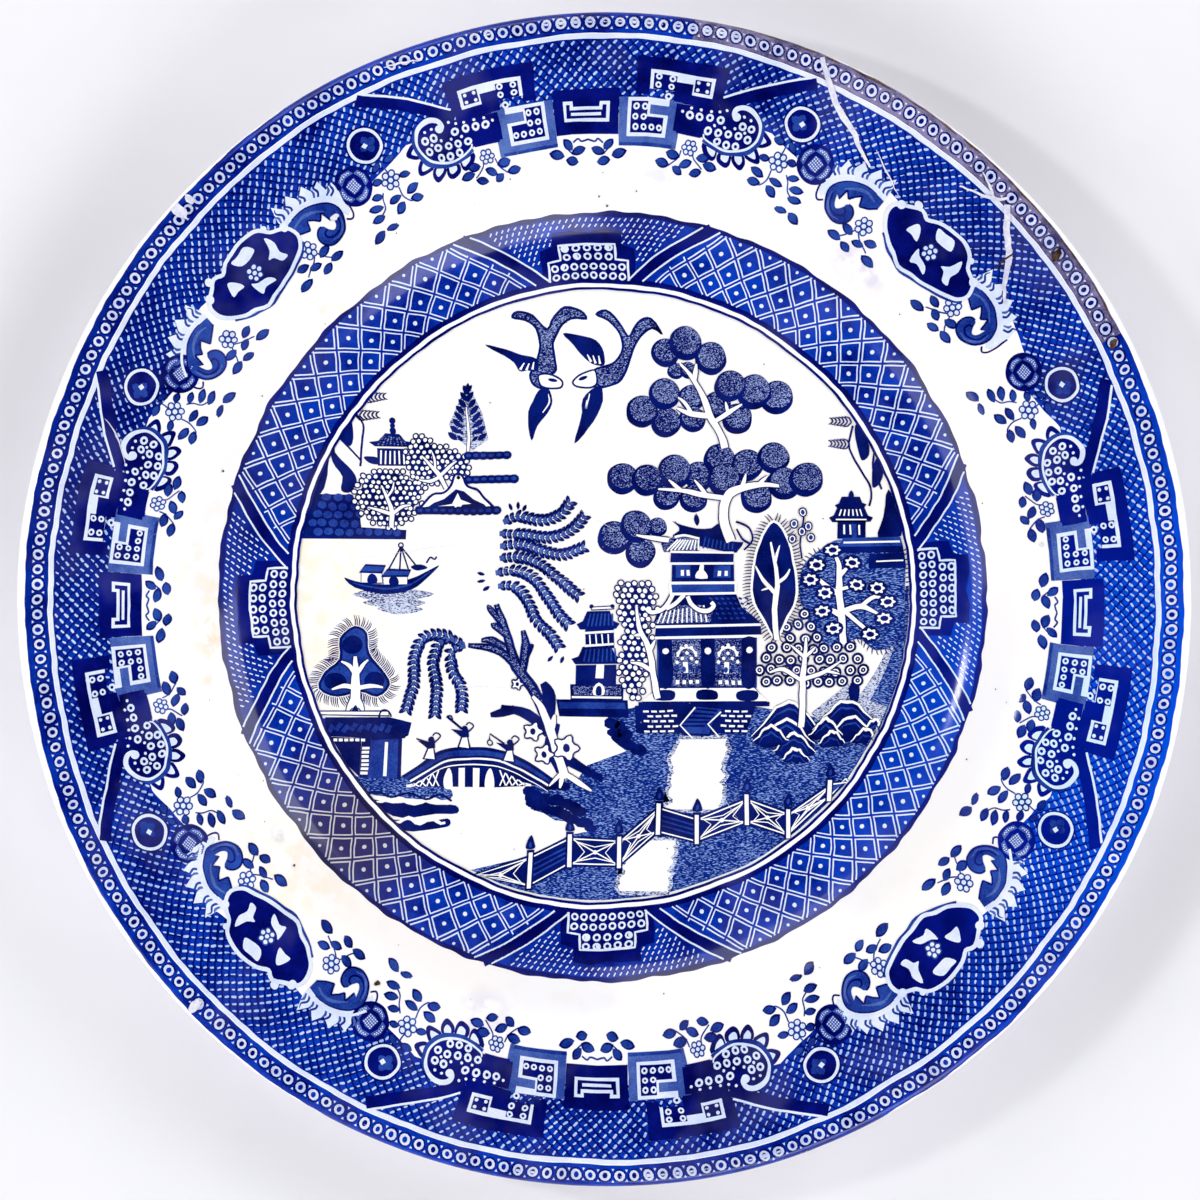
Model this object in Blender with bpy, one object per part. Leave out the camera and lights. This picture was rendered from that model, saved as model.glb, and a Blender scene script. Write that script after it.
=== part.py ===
"""A printed earthenware dinner plate, in the layers it is made of, as a Blender script.

The frame is +Z up, with the origin on the plate's axis at the plane that its foot ring stands on.
Lengths in this file are millimetres, and metres() turns them into Blender's units. Every layer is
turned from one profile: points (radius, height) along the glazed surface, each with the direction
that points out of the pottery there, so that a layer is the same run of points set a depth inside.
"""

import math

import bmesh
import bpy
from mathutils import Matrix, Vector

# ---- driving dimensions, in millimetres ----
PLATE_RADIUS = 130.0
WALL = 4.6  # from the glazed front to the glazed back
LIP_ROUND = 1.9  # radius of the rounded edge
FLOOR_TOP = 7.5  # height of the flat well floor

# The front in section: flat floor, hollow curve, straight rise, rounded shoulder, sloping marly
FLOOR_RADIUS = 74.5
HOLLOW_ROUND = 18.0
RISE_SLOPE = math.radians(35)
RISE_WIDTH = 5.5
SHOULDER_ROUND = 21.0
MARLY_SLOPE = math.radians(11)

# The foot ring
FOOT_OUTER = 77.0
FOOT_INNER = 71.6
FOOT_TOE = 1.1  # how far each side draws in towards the standing face
FOOT_BEVEL = 0.5
FOOT_ROOT = 2.3  # height where the back's curve turns down into the foot ring
GLAZE_EDGE = 1.0  # height where the glaze stops on the foot ring
BASE_HEIGHT = 2.9  # underside of the base, inside the foot ring

# The layers, from the surface inwards
GLAZE = 0.3
LAYER_GAP = 0.06
PRINT = 0.12
BODY_DEPTH = GLAZE + PRINT + 2 * LAYER_GAP

# The printed areas, by radius. The bead edge runs from here to where the lip rounds over.
CENTRE_PRINT_RADIUS = 68.6
WELL_BAND = (69.9, 86.0)
RIM_BORDER = (93.5, 124.2)
BEAD_EDGE_INNER = 124.9
STRIP_COUNT = 4  # the border is laid as this many strips
STRIP_GAP = math.radians(0.2)

SEGMENTS = 48
LIP_STEPS = 5
CURVE_STEP = 3.5  # spacing of the profile's points along a curve


def metres(millimetres):
    return millimetres / 1000


# ---- the front's profile ----
HOLLOW_END = FLOOR_RADIUS + HOLLOW_ROUND * math.sin(RISE_SLOPE)
RISE_END = HOLLOW_END + RISE_WIDTH
SHOULDER_END = RISE_END + SHOULDER_ROUND * (math.sin(RISE_SLOPE) - math.sin(MARLY_SLOPE))
FRONT_END = PLATE_RADIUS - LIP_ROUND * (1 + math.sin(MARLY_SLOPE))

HOLLOW_RISE = HOLLOW_ROUND * (1 - math.cos(RISE_SLOPE))
STRAIGHT_RISE = RISE_WIDTH * math.tan(RISE_SLOPE)
SHOULDER_RISE = SHOULDER_ROUND * (math.cos(MARLY_SLOPE) - math.cos(RISE_SLOPE))


def front_slope(radius):
    """The slope of the front at this radius, in radians."""
    if radius <= FLOOR_RADIUS:
        return 0.0
    if radius <= HOLLOW_END:
        return math.asin((radius - FLOOR_RADIUS) / HOLLOW_ROUND)
    if radius <= RISE_END:
        return RISE_SLOPE
    if radius <= SHOULDER_END:
        return math.asin(math.sin(RISE_SLOPE) - (radius - RISE_END) / SHOULDER_ROUND)
    return MARLY_SLOPE


def front_height(radius):
    slope = front_slope(radius)
    if radius <= FLOOR_RADIUS:
        return FLOOR_TOP
    if radius <= HOLLOW_END:
        return FLOOR_TOP + HOLLOW_ROUND * (1 - math.cos(slope))
    height = FLOOR_TOP + HOLLOW_RISE
    if radius <= RISE_END:
        return height + (radius - HOLLOW_END) * math.tan(RISE_SLOPE)
    height += STRAIGHT_RISE
    if radius <= SHOULDER_END:
        return height + SHOULDER_ROUND * (math.cos(slope) - math.cos(RISE_SLOPE))
    return height + SHOULDER_RISE + (radius - SHOULDER_END) * math.tan(MARLY_SLOPE)


def station(radius, height, angle):
    """A profile point, with its outward direction at this angle above horizontal."""
    return Vector((radius, height)), Vector((math.cos(angle), math.sin(angle)))


def front_station(radius):
    return station(radius, front_height(radius), math.pi / 2 + front_slope(radius))


def back_station(radius):
    """The point of the back that lies a wall's thickness behind the front at this radius."""
    point, out = front_station(radius)
    return point - WALL * out, -out


def inside(stations, depth):
    return [point - depth * out for point, out in stations]


def spread(start, end):
    """Radii from start to end, evenly spaced and at most a curve step apart."""
    steps = max(1, math.ceil(abs(end - start) / CURVE_STEP))
    return [start + (end - start) * step / steps for step in range(steps + 1)]


def front_radii():
    """The radii of the front's points. Every print starts and ends on one of them."""
    curves = spread(FLOOR_RADIUS, HOLLOW_END) + spread(RISE_END, SHOULDER_END)
    edges = [CENTRE_PRINT_RADIUS, *WELL_BAND, *RIM_BORDER, BEAD_EDGE_INNER]
    return sorted({0.0, FRONT_END, *curves, *edges})


def lip_stations():
    """The rounded edge, between the last point of the front and the first of the back."""
    centre_radius = PLATE_RADIUS - LIP_ROUND
    centre_height = front_height(FRONT_END) - LIP_ROUND * math.cos(MARLY_SLOPE)
    first = math.pi / 2 + MARLY_SLOPE
    found = []
    for step in range(1, LIP_STEPS + 1):
        angle = first - math.pi * step / LIP_STEPS
        radius = centre_radius + LIP_ROUND * math.cos(angle)
        height = centre_height + LIP_ROUND * math.sin(angle)
        found.append(station(radius, height, angle))
    return found


def back_stations():
    """The back, from under the marly to where the curve meets the foot ring."""
    radii = [SHOULDER_END, *spread(SHOULDER_END, RISE_END)[1:], HOLLOW_END]
    radii += [radius for radius in spread(HOLLOW_END, FLOOR_RADIUS)[1:] if radius > FOOT_OUTER]
    return [back_station(radius) for radius in radii]


def foot_wall_stations():
    """The outer side of the foot ring, down to where the glaze stops."""
    lean = math.atan2(FOOT_TOE, FOOT_ROOT)
    drawn_in = (FOOT_ROOT - GLAZE_EDGE) * math.tan(lean)
    return [
        station(FOOT_OUTER, FOOT_ROOT, -lean),
        station(FOOT_OUTER - drawn_in, GLAZE_EDGE, -lean),
    ]


def glazed_surface():
    """All of the front, the lip and the back, to the glaze's edge on the foot ring."""
    front = [front_station(radius) for radius in front_radii()]
    return front + lip_stations() + back_stations() + foot_wall_stations()


# ---- turning a profile into a solid ----
def turned(name, outline, material, angle=2 * math.pi, start=0.0):
    """Turns a closed outline of (radius, height) points about the plate's axis."""
    mesh = bpy.data.meshes.new(name)
    work = bmesh.new()
    corners = [work.verts.new((metres(radius), 0, metres(height))) for radius, height in outline]
    section = work.faces.new(corners)
    whole = angle == 2 * math.pi
    edges = list(section.edges)
    if whole:
        bmesh.ops.delete(work, geom=[section], context="FACES_ONLY")
    bmesh.ops.spin(
        work,
        geom=[*edges, *corners] if whole else [section, *edges, *corners],
        axis=(0, 0, 1),
        cent=(0, 0, 0),
        angle=angle,
        steps=round(SEGMENTS * angle / (2 * math.pi)),
        use_merge=whole,
    )
    bmesh.ops.remove_doubles(work, verts=work.verts, dist=metres(0.0001))
    bmesh.ops.rotate(work, verts=work.verts, matrix=Matrix.Rotation(start, 3, "Z"))
    bmesh.ops.recalc_face_normals(work, faces=work.faces)
    work.to_mesh(mesh)
    work.free()
    mesh.shade_smooth()
    mesh.set_sharp_from_angle(angle=math.radians(30))
    mesh.materials.append(material)
    layer = bpy.data.objects.new(name, mesh)
    bpy.context.scene.collection.objects.link(layer)
    return layer


def skin_outline(stations, depth, thickness):
    """A layer that follows the surface: its outer side, then its inner side back again."""
    return inside(stations, depth) + inside(stations, depth + thickness)[::-1]


# ---- materials ----
def material(name, color, roughness):
    made = bpy.data.materials.new(name)
    made.use_nodes = True
    shader = made.node_tree.nodes["Principled BSDF"]
    shader.inputs["Base Color"].default_value = (*color, 1)
    shader.inputs["Roughness"].default_value = roughness
    shader.inputs["Metallic"].default_value = 0.0
    return made


# ---- the layers ----
def body(biscuit):
    """The fired pottery, with the foot ring that the plate stands on."""
    shell = inside(glazed_surface(), BODY_DEPTH)
    outer = FOOT_OUTER - FOOT_TOE - BODY_DEPTH
    inner = FOOT_INNER + FOOT_TOE + BODY_DEPTH
    roof = BASE_HEIGHT + GLAZE + LAYER_GAP
    foot = [
        (outer, FOOT_BEVEL),
        (outer - FOOT_BEVEL, 0),
        (inner + FOOT_BEVEL, 0),
        (inner, FOOT_BEVEL),
        (FOOT_INNER + BODY_DEPTH, roof - FOOT_BEVEL),
        (FOOT_INNER, roof),
        (0, roof),
    ]
    return turned("body", [*shell, *foot], biscuit)


def front_glaze(glaze):
    """The glass skin over the front, round the lip and down the back to the foot ring."""
    return turned("front_glaze", skin_outline(glazed_surface(), 0, GLAZE), glaze)


def base_glaze(glaze):
    """The disc of glaze on the base, inside the foot ring."""
    edge = FOOT_INNER - BODY_DEPTH
    top = BASE_HEIGHT + GLAZE
    outline = [(0, BASE_HEIGHT), (edge, BASE_HEIGHT), (edge, top), (0, top)]
    return turned("base_glaze", outline, glaze)


def print_outline(start, end):
    """The section of a print that covers the front between two radii."""
    stations = [front_station(radius) for radius in front_radii() if start <= radius <= end]
    return skin_outline(stations, GLAZE + LAYER_GAP, PRINT)


def centre_scene_print(ink):
    return turned("centre_scene_print", print_outline(0, CENTRE_PRINT_RADIUS), ink)


def well_band_print(ink):
    return turned("well_band_print", print_outline(*WELL_BAND), ink)


def bead_edge_print(ink):
    return turned("bead_edge_print", print_outline(BEAD_EDGE_INNER, FRONT_END), ink)


def rim_border_prints(ink):
    """The border, laid as strips that nearly meet on the diagonals."""
    strip = 2 * math.pi / STRIP_COUNT
    outline = print_outline(*RIM_BORDER)
    made = []
    for number in range(STRIP_COUNT):
        name = f"rim_border_print_{number + 1}"
        start = strip * (number - 0.5) + STRIP_GAP / 2
        made.append(turned(name, outline, ink, strip - STRIP_GAP, start))
    return made


def build_plate():
    for old in list(bpy.data.objects):
        bpy.data.objects.remove(old)
    biscuit = material("biscuit", (0.83, 0.77, 0.68), 0.75)
    glaze = material("clear_glaze", (0.90, 0.89, 0.87), 0.08)
    border_blue = material("border_blue", (0.010, 0.025, 0.28), 0.25)
    scene_blue = material("scene_blue", (0.02, 0.035, 0.18), 0.25)
    layers = [
        body(biscuit),
        front_glaze(glaze),
        base_glaze(glaze),
        centre_scene_print(scene_blue),
        well_band_print(border_blue),
        *rim_border_prints(border_blue),
        bead_edge_print(border_blue),
    ]
    plate = bpy.data.objects.new("plate", None)
    bpy.context.scene.collection.objects.link(plate)
    for layer in layers:
        layer.parent = plate


build_plate()
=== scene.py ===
"""Looks for the printed dinner plate: its pottery, its blue print drawn shape by shape, and its wear.

The print is flat artwork in millimetres, with +X to the right and +Y to the top of the scene. Each
piece of artwork is laid on the plate's face, shape on shape, and takes the face's own normals.
"""
import math
import random

import bpy
import numpy as np
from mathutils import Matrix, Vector
from mathutils.geometry import tessellate_polygon


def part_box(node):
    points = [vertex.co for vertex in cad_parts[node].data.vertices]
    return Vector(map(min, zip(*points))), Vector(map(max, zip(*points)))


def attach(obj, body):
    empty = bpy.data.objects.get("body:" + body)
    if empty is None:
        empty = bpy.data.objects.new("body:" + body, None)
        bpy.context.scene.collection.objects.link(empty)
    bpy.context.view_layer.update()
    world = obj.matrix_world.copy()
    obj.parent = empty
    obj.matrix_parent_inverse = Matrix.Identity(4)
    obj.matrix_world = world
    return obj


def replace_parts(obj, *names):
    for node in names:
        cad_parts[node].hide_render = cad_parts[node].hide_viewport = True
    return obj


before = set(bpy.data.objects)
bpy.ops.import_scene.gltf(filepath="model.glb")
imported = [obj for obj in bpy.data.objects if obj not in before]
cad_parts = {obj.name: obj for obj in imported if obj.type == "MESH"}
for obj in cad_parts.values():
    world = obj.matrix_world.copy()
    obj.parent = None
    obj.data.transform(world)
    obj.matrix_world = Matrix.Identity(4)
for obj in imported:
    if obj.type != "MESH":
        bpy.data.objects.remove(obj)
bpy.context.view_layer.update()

MM = 0.001

# ---- the plate's section, in millimetres: its reach and heights come from the frame ----
GLAZE = 0.3
PRINT_DEPTH = 0.36
WALL = 4.6
LIP_ROUND = 1.9
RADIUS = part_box("front_glaze")[1].x / MM
FLOOR_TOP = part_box("centre_scene_print")[1].z / MM + PRINT_DEPTH
BASE_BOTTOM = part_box("base_glaze")[0].z / MM
BASE_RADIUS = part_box("base_glaze")[1].x / MM
FLOOR_RADIUS = 74.5
HOLLOW_ROUND = 18.0
RISE_SLOPE = math.radians(35)
RISE_WIDTH = 5.5
SHOULDER_ROUND = 21.0
MARLY_SLOPE = math.radians(11)
HOLLOW_END = FLOOR_RADIUS + HOLLOW_ROUND * math.sin(RISE_SLOPE)
RISE_END = HOLLOW_END + RISE_WIDTH
SHOULDER_END = RISE_END + SHOULDER_ROUND * (math.sin(RISE_SLOPE) - math.sin(MARLY_SLOPE))
LIP_CENTRE = RADIUS - LIP_ROUND
LIP_END = RADIUS - 0.02
FRONT_END = LIP_CENTRE - LIP_ROUND * math.sin(MARLY_SLOPE)
FOOT_OUTER, FOOT_INNER, FOOT_TOE, FOOT_ROOT, GLAZE_EDGE = 77.0, 71.6, 1.1, 2.3, 1.0

# ---- the printed zones, by radius ----
RING_LINE = 68.4
GROUND_REACH = 67.9  # the engraved ground stops just inside the ring
WELL_INNER, WELL_OUTER = 70.2, 85.8
BORDER_OUTER = 123.7
WHITE_LINE = 124.25
BEAD_INNER, BEAD_RING = 124.9, 127.25
BEADS = 244
LIP_STAIN = 129.62
WORN = (9, 63)  # the degrees between which the bead edge is greyed
LEVEL = 0.018  # height of one layer of ink over the next


def face_section(radius):
    """Height and slope of the glazed face at each radius, out to the lip's widest point."""
    radius = np.asarray(radius, float)
    hollow = np.arcsin(np.clip((radius - FLOOR_RADIUS) / HOLLOW_ROUND, 0, 1))
    shoulder = np.arcsin(np.clip(math.sin(RISE_SLOPE) - (radius - RISE_END) / SHOULDER_ROUND, -1, 1))
    lip = -np.arcsin(np.clip((radius - LIP_CENTRE) / LIP_ROUND, -1, 1))
    hollow_top = FLOOR_TOP + HOLLOW_ROUND * (1 - math.cos(RISE_SLOPE))
    rise_top = hollow_top + RISE_WIDTH * math.tan(RISE_SLOPE)
    shoulder_top = rise_top + SHOULDER_ROUND * (math.cos(MARLY_SLOPE) - math.cos(RISE_SLOPE))
    front_top = shoulder_top + (FRONT_END - SHOULDER_END) * math.tan(MARLY_SLOPE)
    lip_middle = front_top - LIP_ROUND * math.cos(MARLY_SLOPE)
    zones = [radius <= FLOOR_RADIUS, radius <= HOLLOW_END, radius <= RISE_END, radius <= SHOULDER_END,
        radius <= FRONT_END]
    slope = np.select(zones, [0 * radius, hollow, 0 * radius + RISE_SLOPE, shoulder,
        0 * radius + MARLY_SLOPE], lip)
    height = np.select(zones, [0 * radius + FLOOR_TOP, FLOOR_TOP + HOLLOW_ROUND * (1 - np.cos(hollow)),
        hollow_top + (radius - HOLLOW_END) * math.tan(RISE_SLOPE), rise_top + SHOULDER_ROUND
        * (np.cos(shoulder) - math.cos(RISE_SLOPE)), shoulder_top + (radius - SHOULDER_END)
        * math.tan(MARLY_SLOPE)], lip_middle + LIP_ROUND * np.cos(lip))
    return height, slope


# ---- outlines, as arrays of points ----
def points_of(pairs):
    return np.array(pairs, float)


def oval(u, v, across, along=None, tilt=0, sides=14):
    turn = np.linspace(0, 2 * math.pi, sides, endpoint=False)
    along = across if along is None else along
    return turned(np.column_stack((across * np.cos(turn), along * np.sin(turn))), tilt) + (u, v)


def turned(points, degrees):
    c, s = math.cos(math.radians(degrees)), math.sin(math.radians(degrees))
    return np.asarray(points) @ np.array([[c, s], [-s, c]])


def box(u0, v0, u1, v1):
    return points_of([(u0, v0), (u1, v0), (u1, v1), (u0, v1)])


def smooth(points, steps=4, closed=False):
    """A Catmull-Rom curve through the points."""
    points = points_of(points)
    count = len(points)
    spans = range(count if closed else count - 1)
    found = []
    for i in spans:
        around = [points[(i + k) % count if closed else min(max(i + k, 0), count - 1)]
            for k in (-1, 0, 1, 2)]
        a, b, c, d = around
        for t in np.arange(steps) / steps:
            found.append(0.5 * (2 * b + (c - a) * t + (2 * a - 5 * b + 4 * c - d) * t * t
                + (3 * b - a - 3 * c + d) * t ** 3))
    if not closed:
        found.append(points[-1])
    return np.array(found)


def blob(points, steps=3):
    """A closed outline, rounded through the given points."""
    return smooth(points, steps, True)


def bloom(x, y, wide, high, lobes, depth, sides):
    """The outline of a flower: an oval of so many sides, waved into lobes."""
    turn = np.linspace(0, 2 * math.pi, sides + 1)[:-1]
    reach = 1 + depth * np.cos(lobes * turn)
    return np.column_stack((x + wide * reach * np.cos(turn), y + high * reach * np.sin(turn)))


def grown(outline, reach):
    """The outline moved outwards by reach, for outlines that run clockwise or anticlockwise."""
    before, after = np.roll(outline, 1, 0), np.roll(outline, -1, 0)
    along = after - before
    out = np.column_stack((along[:, 1], -along[:, 0]))
    out /= np.linalg.norm(out, axis=1)[:, None] + 1e-9
    x, y = outline.T
    area = np.sum(x * np.roll(y, -1) - np.roll(x, -1) * y)
    return outline + out * reach * (1 if area > 0 else -1)


def leaf(u, v, length, width, tilt, sides=6):
    """A pointed leaf that starts at (u, v) and grows along its tilt."""
    t = np.linspace(0, 1, sides)
    half = width / 2 * np.sin(math.pi * t) ** 0.7
    top = np.column_stack((length * t, half))
    bottom = np.column_stack((length * t, -half))[::-1][1:-1]
    return turned(np.vstack((top, bottom)), tilt) + (u, v)


def arc(u, v, radius, start, end, steps=10):
    turn = np.radians(np.linspace(start, end, steps))
    return np.column_stack((u + radius * np.cos(turn), v + radius * np.sin(turn)))


# ---- places: where a motif's own (u, v) lies on the plate ----
def flat(points):
    """The plate's own X and Y."""
    return np.asarray(points)


def at_polar(radius, turn):
    """Points at these radii, and turned clockwise from the top of the scene, in radians."""
    return np.column_stack((radius * np.sin(turn), radius * np.cos(turn)))


def at_places(places):
    """Points from pairs of degrees and radius."""
    degrees, radius = points_of(places).T
    return at_polar(radius, np.radians(degrees))


def on_ring(angle, radius, flip=1):
    """u runs clockwise along the ring of this radius from this angle, and v outwards."""
    def place(points):
        points = np.asarray(points)
        turn = math.radians(angle) + flip * points[:, 0] / radius
        reach = radius + points[:, 1]
        return at_polar(reach, turn)
    return place


# ---- the small unevenness of a hand-cut plate and hand-laid tissue ----
def make_waves():
    rng = random.Random(5)
    waves = []
    for length, reach in ((70, 0.09), (17, 0.07), (4.5, 0.04)):
        for _ in range(4):
            heading, drift = rng.uniform(0, 2 * math.pi), rng.uniform(0, 2 * math.pi)
            run = 2 * math.pi / length * rng.uniform(0.8, 1.25)
            waves.append((run * math.cos(heading), run * math.sin(heading), drift,
                reach * rng.uniform(0.7, 1.3)))
    return waves


WAVES = make_waves()


def registered(points):
    """The artwork as it was laid: narrow at the rim, off centre in the well, and unsteady all over."""
    x, y = points.T
    reach = np.hypot(x, y)
    pull = np.clip((reach - 84) / 26, 0, 1)
    size = np.interp(reach, (60, 68, 74, 90), (-0.005, 0.002, 0.002, 0))
    dx = size * x - 0.0135 * pull * x + np.interp(reach, (60, 67, 86, 102), (0.15, -0.4, -0.45, 0))
    dy = size * y + 0.003 * pull ** 4 * y + np.interp(reach, (60, 67, 86, 102), (0.55, 0.9, 0.75, 0))
    for i, (kx, ky, drift, size) in enumerate(WAVES):
        ripple = size * np.sin(kx * x + ky * y + drift)
        dx, dy = (dx + ripple, dy) if i % 2 else (dx, dy + ripple)
    return points + np.column_stack((dx, dy))


def refined(points, triangles, longest):
    """Halves edges until none is longer, keeping neighbours joined."""
    points = [tuple(p) for p in points]
    while True:
        middles = {}

        def middle(a, b):
            key = (min(a, b), max(a, b))
            if key not in middles:
                far = math.dist(points[a], points[b]) > longest
                middles[key] = len(points) if far else None
                if far:
                    points.append(tuple((points[a][k] + points[b][k]) / 2 for k in (0, 1)))
            return middles[key]

        split = []
        for a, b, c in triangles:
            loop = []
            for start, end in ((a, b), (b, c), (c, a)):
                loop += [start, middle(start, end)]
            first = next((i for i in (1, 3, 5) if loop[i] is not None), None)
            if first is None:
                split.append((a, b, c))
                continue
            loop = [p for p in loop[first:] + loop[:first] if p is not None]
            split += [(loop[0], loop[i], loop[i + 1]) for i in range(1, len(loop) - 1)]
        if len(split) == len(triangles):
            return np.array(points), triangles
        triangles = split


class Artwork:
    """One printed piece: flat shapes in a few inks, each on a level above the last."""

    def __init__(self, name, slot, base=0, within=LIP_END):
        self.name, self.slot, self.inks, self.base, self.within = name, slot, [], base, within
        self.place = flat
        self.points, self.heights, self.faces, self.face_inks = [], [], [], []
        self.count = 0

    def add(self, ink, level, points, faces):
        self.points.append(self.place(points))
        rise = 0.06 * (len(self.points) % 8)
        self.heights.append(np.full(len(points), (self.base + level + 1 + rise) * LEVEL))
        self.faces += [[i + self.count for i in face] for face in faces]
        if ink not in self.inks:
            self.inks.append(ink)
        self.face_inks += [self.inks.index(ink)] * len(faces)
        self.count += len(points)

    def fill(self, ink, level, outline, longest=None):
        """Fills an outline. A wide one on a curve states the longest edge that it may keep."""
        outline = np.asarray(outline)
        if longest is None:
            self.add(ink, level, outline, [range(len(outline))])
            return
        triangles = tessellate_polygon([[(x, y, 0) for x, y in outline]])
        self.add(ink, level, *refined(outline, [tuple(t) for t in triangles], longest))

    def line(self, ink, level, path, width, ends=(1, 1), closed=False):
        """Draws a line along a path, its width drawn in to these shares at its ends."""
        path = np.asarray(path)
        if closed:
            path = np.vstack((path, path[:1]))
        along = np.gradient(path, axis=0)
        if closed:
            along[0] = along[-1] = path[1] - path[-2]
        side = np.column_stack((-along[:, 1], along[:, 0]))
        side /= np.linalg.norm(side, axis=1)[:, None] + 1e-9
        t = np.linspace(0, 1, len(path))
        shares = np.interp(t, (0, 0.5, 1), (ends[0], 1, ends[1]))
        half = side * (shares * width / 2)[:, None]
        count = len(path)
        quads = [(i, i + 1, count + i + 1, count + i) for i in range(count - 1)]
        self.add(ink, level, np.vstack((path - half, path + half)), quads)

    def piece(self):
        """The shown object, laid on the plate's face."""
        points = np.vstack(self.points)
        points *= np.minimum(1, self.within / np.maximum(np.hypot(*points.T), 1e-6))[:, None]
        points = registered(points)
        reach = np.hypot(*points.T)
        too_far = reach > LIP_END
        points[too_far] *= (LIP_END / reach[too_far])[:, None]
        reach = np.minimum(reach, LIP_END)
        height, slope = face_section(reach)
        outward = points / np.maximum(reach, 1e-6)[:, None]
        normals = np.column_stack((-np.sin(slope)[:, None] * outward, np.cos(slope)))
        places = np.column_stack((points, height)) + normals * np.concatenate(self.heights)[:, None]
        places = out_of_round(places)
        mesh = bpy.data.meshes.new(self.name)
        mesh.from_pydata((places * MM).tolist(), [], self.faces)
        for ink in self.inks:
            mesh.materials.append(ink)
        mesh.polygons.foreach_set("material_index", self.face_inks)
        mesh.update()
        turn_up(mesh)
        mesh.shade_smooth()
        mesh.normals_split_custom_set_from_vertices(normals.tolist())
        return shown(self.name, mesh)


def out_of_round(places):
    """The plate's rim, a little warped by its firing."""
    turn = np.arctan2(places[:, 0], places[:, 1])
    share = np.clip((np.hypot(places[:, 0], places[:, 1]) - 90) / 40, 0, 1)
    warp = 1 + share * 0.0011 * (np.sin(3 * turn + 1) + 0.6 * np.sin(7 * turn) + 0.4
        * np.sin(13 * turn + 2))
    return places * np.column_stack((warp, warp, np.ones(len(places))))


def turn_up(mesh):
    """Flips every face that looks down, so that the print faces out of the plate."""
    down = [face.index for face in mesh.polygons if face.normal.z < 0]
    for index in down:
        mesh.polygons[index].flip()
    mesh.update()


def shown(name, mesh):
    piece = bpy.data.objects.new(name, mesh)
    bpy.context.scene.collection.objects.link(piece)
    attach(piece, "root")
    return piece


# ---- materials ----
class Nodes:
    """A material's node tree, with short ways to add what these materials use."""

    def __init__(self, name):
        self.material = bpy.data.materials.new(name)
        self.material.use_nodes = True
        self.tree = self.material.node_tree
        self.shader = self.tree.nodes["Principled BSDF"]
        self.where = self.tree.nodes.new("ShaderNodeTexCoord").outputs["Object"]

    def link(self, value, socket):
        if isinstance(value, bpy.types.NodeSocket):
            self.tree.links.new(value, socket)
        else:
            socket.default_value = value

    def noise(self, size, detail=2.0, roughness=0.5, seed=0.0, stretch=1.0):
        """Noise whose features are about this many millimetres across, and longer along X if stretched."""
        squeeze = self.tree.nodes.new("ShaderNodeVectorMath")
        squeeze.operation = "MULTIPLY"
        squeeze.inputs[1].default_value = (1 / stretch, 1, 1)
        self.tree.links.new(self.where, squeeze.inputs[0])
        node = self.tree.nodes.new("ShaderNodeTexNoise")
        node.noise_dimensions = "4D"
        self.tree.links.new(squeeze.outputs["Vector"], node.inputs["Vector"])
        node.inputs["W"].default_value = seed
        node.inputs["Scale"].default_value = 1 / (size * MM)
        node.inputs["Detail"].default_value = detail
        node.inputs["Roughness"].default_value = roughness
        return node.outputs["Fac"]

    def ramp(self, value, low, high, start=0.0, end=1.0):
        """value from low to high, turned into start to end."""
        node = self.tree.nodes.new("ShaderNodeMapRange")
        node.interpolation_type = "SMOOTHSTEP"
        self.link(value, node.inputs["Value"])
        for name, number in (("From Min", low), ("From Max", high), ("To Min", start), ("To Max", end)):
            node.inputs[name].default_value = number
        return node.outputs["Result"]

    def math(self, operation, a, b=0.5):
        node = self.tree.nodes.new("ShaderNodeMath")
        node.operation = operation
        self.link(a, node.inputs[0])
        self.link(b, node.inputs[1])
        return node.outputs["Value"]

    def mix(self, share, a, b):
        node = self.tree.nodes.new("ShaderNodeMix")
        node.data_type = "RGBA"
        self.link(share, node.inputs["Factor"])
        self.link(a, node.inputs[6])
        self.link(b, node.inputs[7])
        return node.outputs[2]

    def near(self, x, y, reach, blur=0.5):
        """1 within a blurred disc of this many millimetres about a place on the face, and 0 outside."""
        node = self.tree.nodes.new("ShaderNodeVectorMath")
        node.operation = "DISTANCE"
        self.tree.links.new(self.where, node.inputs[0])
        height, _ = face_section(math.hypot(x, y))
        node.inputs[1].default_value = (x * MM, y * MM, float(height) * MM)
        return self.ramp(node.outputs["Value"], reach * blur * MM, reach * MM, 1, 0)

    def finish(self, color, roughness=0.12, bump=None, bump_height=0.02):
        self.link(color, self.shader.inputs["Base Color"])
        self.link(roughness, self.shader.inputs["Roughness"])
        self.shader.inputs["Specular IOR Level"].default_value = 0.3
        if bump is not None:
            node = self.tree.nodes.new("ShaderNodeBump")
            node.inputs["Strength"].default_value = 0.25
            node.inputs["Distance"].default_value = bump_height * MM
            self.tree.links.new(bump, node.inputs["Height"])
            self.tree.links.new(node.outputs["Normal"], self.shader.inputs["Normal"])
        return self.material


def shade(red, green, blue):
    """A colour given as it looks on a screen, 0 to 255, in Blender's linear values."""
    parts = [(c / 255 / 12.92) if c / 255 <= 0.04045 else ((c / 255 + 0.055) / 1.055) ** 2.4
        for c in (red, green, blue)]
    return (*parts, 1)


FADED = (86, 88, 150)  # what a worn blue turns to


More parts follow.
